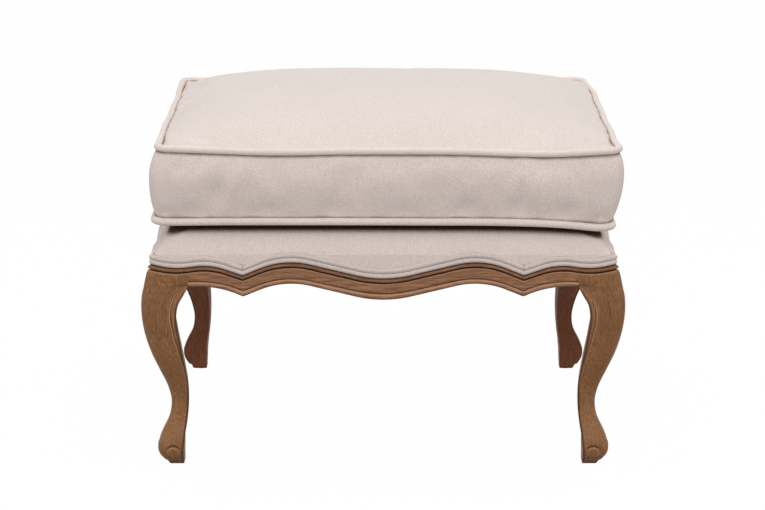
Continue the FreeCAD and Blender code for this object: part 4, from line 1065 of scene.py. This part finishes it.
def occlusion_shade(tree, reach, low, high, share):
    """Painted shade by how closely other surfaces lie around, from 0 in the open to share."""
    around = node(tree, "ShaderNodeAmbientOcclusion", Distance=reach)
    around.samples = 16
    return times(tree, ramp(tree, around.outputs["AO"], high, low), share)


# Colour that painted crevice shade multiplies in
CREVICE_SHADE_TINT = (0.3, 0.2, 0.15, 1.0)
EVEN = (1, 1, 1)
NAP = 0.02
SHEEN = 0.2


def fabric(name, colour, grain=0.13, crevice_shade=(0.022, 0.3, 0.72, 0.85), shade_tint=CREVICE_SHADE_TINT):
    """Short-piled furnishing velvet: fine grain, faint crossing threads and brushed patches. A shade
    below 0 paints shade on it, and its crevices get painted shade, which also fades its sheen there.
    A shade above 0 keeps that painted crevice shade off."""
    material, tree = new_material(
        name, Roughness=0.9, Sheen_Weight=SHEEN, Sheen_Roughness=0.5, Specular_IOR_Level=0.12)
    colour = srgb(*colour)
    fine = noise(tree, EVEN, detail=3.0, roughness=0.8, scale=760.0)
    weft = noise(tree, (80, 600, 600), detail=1.0)
    warp = noise(tree, (600, 80, 80), detail=1.0)
    patches = noise(tree, EVEN, scale=11.0)
    shade = shade_of(tree)
    base = laid_over(tree, faded(colour, 1 - NAP), patches, 0.3, 0.7, 1.0, faded(colour, 1 + NAP))
    base = laid_over(tree, base, fine, 0.65, 0.35, grain * 4.0, faded(colour, 0.45))
    threads = math_node(tree, "ADD", weft, warp)
    base = laid_over(tree, base, threads, 1.2, 0.8, grain * 0.4, faded(colour, 0.4))
    base = laid_over(tree, base, shade, 0.0, -1.0, 1.0, faded(colour, 0.32))
    # Painted crevice shade, which darkens the colour and fades the sheen
    closed = times(tree, occlusion_shade(tree, *crevice_shade), ramp(tree, shade, 1.0, 0.0))
    sheen = tree.nodes["Principled BSDF"].inputs["Sheen Weight"]
    tree.links.new(times(tree, ramp(tree, closed, 1.0, 0.0), SHEEN), sheen)
    return painted(material, mix(tree, closed, base, shade_tint, "MULTIPLY"), fine, 0.0005, 0.4)


def wood(name, scales, dark, light, edge=(196, 156, 126)):
    """Stained hardwood with fine grain along one axis, painted shade in its recesses and crevices, and
    painted highlights that make its edges pale.
    """
    material, tree = new_material(name, Roughness=0.55, Specular_IOR_Level=0.14)
    dark, light, recess_shade, edge = srgb(*dark), srgb(*light), srgb(*WOOD_PAINTED_SHADE), srgb(*edge)
    grain = noise(tree, scales, detail=4.0, roughness=0.75, distortion=0.15)
    pores = noise(tree, tuple(s * 2.6 for s in scales), roughness=0.6)
    cloud = noise(tree, tuple(s * 0.05 for s in scales))
    shade = shade_of(tree)
    base = laid_over(tree, dark, grain, 0.37, 0.61, 1.0, light)
    base = laid_over(tree, base, cloud, 0.3, 0.7, 0.25, dark)
    base = laid_over(tree, base, pores, 0.6, 0.8, 0.4, faded(dark, 0.6))
    # Painted shade where the shade is below 0, the edge colour as a painted highlight where it is above 0,
    # and painted shade in crevices
    base = laid_over(tree, base, shade, 0.0, -1.0, 1.0, recess_shade)
    base = laid_over(tree, base, shade, 0.1, 1.0, 0.6, edge)
    base = mix(tree, occlusion_shade(tree, 0.008, 0.25, 0.7, 0.8), base, CREVICE_SHADE_TINT, "MULTIPLY")
    return painted(material, base, grain, 0.0003, 0.2)


def plain(name, colour, low=0.85, roughness=0.8, scale=300.0, metallic=0.0, scales=EVEN, specular=0.3):
    """A matter with one colour, broken by noise down to a share of its brightness."""
    material, tree = new_material(
        name, Roughness=roughness, Metallic=metallic, Specular_IOR_Level=specular)
    colour = srgb(*colour)
    fine = noise(tree, scales, detail=3.0, roughness=0.6, scale=scale)
    base = laid_over(tree, faded(colour, low), fine, 0.3, 0.7, 1.0, colour)
    return painted(material, base, fine, 0.0005, 0.4)


def woven(name, colour, pitch, along_x=True):
    """Coarse jute: crossing threads, with darker lines along the strap."""
    material, tree = new_material(name, Roughness=0.9, Specular_IOR_Level=0.1)
    colour = srgb(*colour)
    bands = []
    for axis in ("X", "Y"):
        bands.append(node(
            tree, "ShaderNodeTexWave", Vector=stretched(tree, EVEN), Scale=1 / pitch / WAVES_PER_SCALE,
            Distortion=1.2, Detail=2.0, bands_direction=axis).outputs["Fac"])
    cross = times(tree, *bands)
    slubs = noise(tree, (40, 700, 400) if along_x else (700, 40, 400))
    dark = faded(colour, 0.55)
    base = laid_over(tree, dark, cross, 0.0, 0.6, 1.0, colour)
    base = laid_over(tree, base, slubs, 0.4, 0.8, 0.35, dark)
    return painted(material, base, cross, 0.0006, 0.6)


# Colours are screen values, and scales how often the grain changes along each axis
WAVES_PER_SCALE = 3.18
WOOD_PAINTED_SHADE = (58, 35, 23)
APRON_STAIN = ((110, 73, 48), (168, 124, 94))
ACROSS, ALONG = 600.0, 34.0
FINE_UPRIGHT = (900.0, 900.0, 40.0)
WEBBING = ((196, 168, 128), 0.0022)

leg_wood = wood("leg_wood", FINE_UPRIGHT, (110, 72, 42), (160, 116, 79))
# The back legs get a darker, redder copy of the legs' wood: painted shade, as they stand under the seat
painted_shade_leg_wood = wood("painted_shade_leg_wood", FINE_UPRIGHT, (98, 57, 36), (133, 83, 59), (164, 115, 88))
front_wood = wood("apron_wood_long", (ALONG, ACROSS, ACROSS), *APRON_STAIN)
side_wood = wood("apron_wood_short", (ACROSS, ALONG, ACROSS), *APRON_STAIN)
# The cover is one velvet: the boxing, piping, deck and welts get lighter, darker or warmer copies of it,
# which paint in how the light falls on them
cover_cloth = fabric("cover_velvet", (224, 212, 205))
boxing_cloth = fabric("boxing_velvet", (232, 216, 208), grain=0.145)
piping_cloth = fabric("piping_velvet", (220, 205, 197), crevice_shade=(0.004, 0.1, 0.4, 0.25))
# The deck's cloth gets a far darker painted crevice shade: the shadow under the cushion's edge
deck_cloth = fabric("deck_velvet", (229, 214, 206), crevice_shade=(0.03, 0.45, 0.61, 1.0),
                    shade_tint=(0.075, 0.035, 0.022, 1.0))
welt_cloth = fabric("welt_velvet", (232, 218, 208))
thread = fabric("thread", (146, 128, 116))
cord_cotton = plain("cord_cotton", (230, 225, 214), scale=900.0)
deck_foam = plain("deck_foam", (240, 226, 190), low=0.93, scale=500.0, roughness=0.95)
cushion_foam = plain("foam", (244, 238, 214), low=0.93, scale=500.0, roughness=0.95)
wadding_fleece = plain("wadding_fleece", (240, 238, 234), low=0.94, scale=120.0, roughness=1.0)
dust_cloth = plain("dust_cloth", (46, 46, 48), low=0.8, scale=1200.0, roughness=0.95, specular=0.1)
glide_felt = plain("glide_felt", (104, 95, 84), low=0.8, roughness=0.95, scale=900.0, specular=0.1)
steel = plain("steel", (196, 196, 198), low=0.92, roughness=0.35, metallic=1.0, scale=600.0)
bare_wood = plain("bare_wood", (212, 188, 152), low=0.86, roughness=0.7, scale=1.0, scales=(30, 300, 300))
zip_metal = plain("zip_metal", (206, 200, 190), low=0.94, roughness=0.3, metallic=1.0, scale=800.0)

# Looks of the nodes that keep their CAD shape: the first part found in a node's name counts
CAD_LOOKS = (
    ("webbing_lengthwise", woven("webbing_jute_long", *WEBBING)),
    ("webbing_crosswise", woven("webbing_jute_short", *WEBBING, along_x=False)),
    ("hessian", woven("hessian_jute", (206, 186, 156), 0.0016)),
    ("cushion_zip_tape", plain("zip_tape_cloth", (216, 206, 198), low=0.92, scale=1500.0, roughness=0.9,
                               specular=0.1)),
    ("cushion_zip_coil", plain("zip_coil_nylon", (206, 194, 184), low=0.92, roughness=0.4)),
    ("zip_slider", zip_metal), ("zip_pull", zip_metal),
    ("staples", steel), ("screws", steel),
    ("dowels", bare_wood), ("corner_block", bare_wood), ("glide", glide_felt),
)
for name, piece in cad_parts.items():
    for part, material in CAD_LOOKS:
        if part in name:
            piece.data.materials.clear()
            piece.data.materials.append(material)
            break


# Pieces

SIDE_NAMES = ("front", "right", "back", "left")
for turn, side in enumerate(SIDE_NAMES):
    name = side + "_apron"
    link(name + "_moulded", apron_mesh(name, turn), (front_wood, side_wood)[turn % 2], "frame",
         [name])

for back in (False, True):
    for right in (False, True):
        name = ("front", "back")[back] + ("_left_leg", "_right_leg")[right]
        link(name + "_carved", leg_mesh(name, right, back), (leg_wood, painted_shade_leg_wood)[back],
             "frame", [name])

link("double_piping_sewn", piping_mesh("double_piping"), piping_cloth, "frame",
     ["double_piping"])
link("double_piping_stitches", piping_stitches("stitches"), thread, "frame")

CENTRE = (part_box("cushion_foam")[0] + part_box("cushion_foam")[1]) / 2
DECK_CENTRE = (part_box("deck_foam")[0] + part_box("deck_foam")[1]) / 2

piece = link("deck_cover_fitted", turned_outward(deck_mesh("deck_cover"), DECK_CENTRE), deck_cloth,
             "frame", ["deck_cover"])
shell(piece, 1.2 * MM)


def sewn(name, points, material, shade=None):
    """A panel of the cushion's cover, smoothed and given its thickness."""
    mesh = turned_outward(grid_mesh(name, 75, points, shade), CENTRE)
    piece = link(name + "_sewn", mesh, material, "cushion", [name])
    shell(piece, COVER_THICKNESS)


# The cushion's cover, in the panels it is sewn from
# Painted shade along the boxing where it meets the welts
SEAM_SHADE = ((0, 0.06, 0.085, 0.915, 0.94, 1), (-1, -0.75, 0, 0, -1, -1))
boxing, panel, level, normals = cushion_cover()
columns = np.arange(boxing.shape[1])
opening = columns[(np.abs(level[:, 0]) <= ZIP_HALF) & (level[:, 1] > BACK_FROM)]
rest = np.concatenate([columns[opening[-1]:], columns[:opening[0] + 1]])
below = len([share for share in BOXING_LEVELS if share <= ZIP_SHARES[0]])
seam_shade = np.interp(BOXING_LEVELS, *SEAM_SHADE)
for name, rows, places in (
        ("cushion_boxing", slice(None), rest),
        ("cushion_back_strip_upper", slice(below, None), opening),
        ("cushion_back_strip_lower", slice(0, below), opening)):
    shade = np.tile(seam_shade[rows][:, None], len(places))
    sewn(name, boxing[rows][:, places], boxing_cloth, shade)

# Painted shade on the top panel's rings just inside the welts
shade = np.zeros(panel.shape[:2])
shade[:, 1] = shade[:, -2] = -0.5
shade[1] = shade[-2] = -0.9
shade[[0, -1]] = shade[:, [0, -1]] = -1
sewn("cushion_top_panel", panel, cover_cloth, shade)

under = filled(boxing[0], CUSHION_COUNTS)
edge = np.minimum(SEAM_HALF[0] - np.abs(under[..., 0]), SEAM_HALF[1] - np.abs(under[..., 1]))
flat = ease(edge, *UNDERSIDE_FLAT)
under[..., 2] = under[..., 2] * (1 - flat) + (SEAM_BOTTOM + UNDERSIDE_LIFT) * flat
sewn("cushion_bottom_panel", under, cover_cloth)

for at_top, name, radius in (
        (True, "cushion_top_welt", WELT_RADIUS), (False, "cushion_bottom_welt", BOTTOM_WELT_RADIUS)):
    path, ways = outline(*WELT_HALF, WELT_TURN, tuple(2 * c for c in CUSHION_COUNTS))
    path = seam(path, at_top)
    link(name + "_sewn", tube_mesh("welt", path, ways, radius), welt_cloth, "cushion", [name])
    link(name + "_cord_laid", tube_mesh("cord", path, ways, CORD_RADIUS, 10), cord_cotton, "cushion",
         [name + "_cord"])

# The filling follows the worn shape of the cover, and lies further in behind the zip
for name, inset, material, slot in (
        ("cushion_wadding", 2.2 * MM, wadding_fleece, "wadding"),
        ("cushion_foam", 10 * MM, cushion_foam, "foam")):
    walls = boxing[1:-1] - normals * (inset + ZIP_ROOM * at_zip(level))[None, :, None]
    walls[0, :, 2] = SEAM_BOTTOM + inset
    lift = np.linspace(0, 1, len(walls))[:, None]
    walls[..., 2] = np.clip(walls[..., 2], SEAM_BOTTOM + inset, None) - inset * lift
    lid = filled(walls[-1], CUSHION_COUNTS)
    inner_half = (SEAM_HALF[0] - inset, SEAM_HALF[1] - inset)
    rise = crown(lid[..., 0], lid[..., 1], inner_half) / CROWN_HEIGHT
    middle = (panel[..., 2] - inset * 1.1 - lid[..., 2])[len(lid) // 2, lid.shape[1] // 2]
    lid[..., 2] = np.minimum(lid[..., 2] + rise * middle, np.maximum(panel[..., 2] - inset, lid[..., 2]))
    mesh = closed_filling(name, walls, lid, CUSHION_COUNTS)
    link(name + "_filled", mesh, material, "cushion", [name])

# The deck's filling lies close under its cover
DECK_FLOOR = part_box("deck_foam")[0].z
for name, inset, material, slot in (
        ("deck_wadding", 1.8 * MM, wadding_fleece, "wadding"), ("deck_foam", 8 * MM, deck_foam, "foam")):
    rings = deck_rings(inset)[10:]
    rings[0, :, 2] = DECK_FLOOR
    rings[..., 2] = np.maximum(rings[..., 2], DECK_FLOOR)
    mesh = closed_filling(name, rings, filled(rings[-1], DECK_COUNTS), DECK_COUNTS)
    link(name + "_laid", mesh, material, "frame", [name])

# The dust cover, a thin cloth stapled inside the aprons with its edge turned up
DUST_COUNTS = (60, 48)
DUST_SAG = 2.6 * MM
HEM = 12 * MM
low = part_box("dust_cover")[0].z + 0.4 * MM
reach = (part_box("dust_cover")[1].x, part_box("dust_cover")[1].y)
ring, _ = outline(*reach, 3 * MM, DUST_COUNTS)
grid = filled(ring, DUST_COUNTS)
across, deep = grid[..., 0] / reach[0], grid[..., 1] / reach[1]
grid[..., 2] = low - DUST_SAG * (1 - across**2) * (1 - deep**2)
hem = np.stack([ring + (0, 0, low + rise) for rise in np.linspace(0, HEM, 4)])
builder = Builder()
builder.grid(grid)
builder.grid(hem, wrap_columns=True)
piece = link("dust_cover_stapled", builder.mesh("dust_cover", crease=radians(70)), dust_cloth,
             "frame", ["dust_cover"])
solid = piece.modifiers.new("thickness", "SOLIDIFY")
solid.thickness = 0.6 * MM
solid.offset = 0


# Floor, light and camera

# (name, place, height it aims at, size, power)
LAMPS = (
    ("key", (-0.3, -1.6, 2.5), 0.3, (2.6, 1.1), 11.0), ("top", (0.1, 0.5, 2.5), 0.4, (3.2, 1.8), 33.0),
    ("front", (0.1, -3.1, 1.8), 0.25, (3.8, 0.9), 52.0), ("left", (-2.8, -0.9, 1.0), 0.3, (1.4, 1.6), 20.0),
    ("right", (2.8, -0.9, 1.0), 0.3, (1.4, 1.6), 20.0),
)
FLOOR_REACH = 30.0
FOCAL_LENGTH = 111.27
SENSOR_WIDTH = 36.0
CAMERA_PLACE = (-0.001, -3.3415, 1.1358)
CAMERA_TILT = radians(75)


def seen_and_lit(owner, output, seen_share, seen, lit):
    """What camera, glossy and transmission rays meet, over what lights the scene: each is a kind of
    shader with its strength or colour."""
    owner.use_nodes = True
    tree = owner.node_tree
    tree.nodes.clear()
    blend = node(tree, "ShaderNodeMixShader")
    path = node(tree, "ShaderNodeLightPath")
    share = math_node(tree, "MAXIMUM", path.outputs["Is Camera Ray"], path.outputs["Is Glossy Ray"])
    share = math_node(tree, "MAXIMUM", share, path.outputs["Is Transmission Ray"])
    tree.links.new(times(tree, share, seen_share), blend.inputs[0])
    for index, (kind, settings) in enumerate((lit, seen)):
        tree.links.new(node(tree, kind, **settings).outputs[0], blend.inputs[index + 1])
    tree.links.new(blend.outputs[0], tree.nodes.new(output).inputs["Surface"])


def make_stage():
    """A white floor without an edge in view, white surroundings and soft lamps."""
    mesh = bpy.data.meshes.new("floor")
    corners = [(-1, -1), (1, -1), (1, 1), (-1, 1)]
    mesh.from_pydata([(x * FLOOR_REACH, y * FLOOR_REACH, 0) for x, y in corners], [], [(0, 1, 2, 3)])
    placed("floor", mesh)
    material = bpy.data.materials.new("floor")
    white, grey = (1, 1, 1, 1), (0.28, 0.28, 0.28, 1)
    seen_and_lit(material, "ShaderNodeOutputMaterial", 0.93,
                 ("ShaderNodeEmission", {"Color": white, "Strength": 1.055}),
                 ("ShaderNodeBsdfDiffuse", {"Color": grey}))
    mesh.materials.append(material)
    world = bpy.data.worlds.new("studio")
    bpy.context.scene.world = world
    seen_and_lit(world, "ShaderNodeOutputWorld", 1.0,
                 ("ShaderNodeBackground", {"Color": white, "Strength": 1.0}),
                 ("ShaderNodeBackground", {"Color": white, "Strength": 0.34}))

    for name, place, aim, size, power in LAMPS:
        lamp = bpy.data.lights.new(name, "AREA")
        lamp.shape = "RECTANGLE"
        lamp.size, lamp.size_y = size
        lamp.energy = power
        holder = placed(name, lamp)
        holder.location = place
        holder.rotation_euler = (Vector((0, 0, aim)) - Vector(place)).to_track_quat("-Z", "Y").to_euler()


def make_camera():
    """The photograph's view: 15 degrees down, a little left of the middle."""
    data = bpy.data.cameras.new("view")
    data.sensor_width = SENSOR_WIDTH
    data.lens = FOCAL_LENGTH
    camera = placed("view", data)
    camera.location = CAMERA_PLACE
    camera.rotation_euler = (CAMERA_TILT, 0, 0)
    bpy.context.scene.camera = camera


make_stage()
make_camera()
bpy.context.scene.view_settings.view_transform = "Standard"
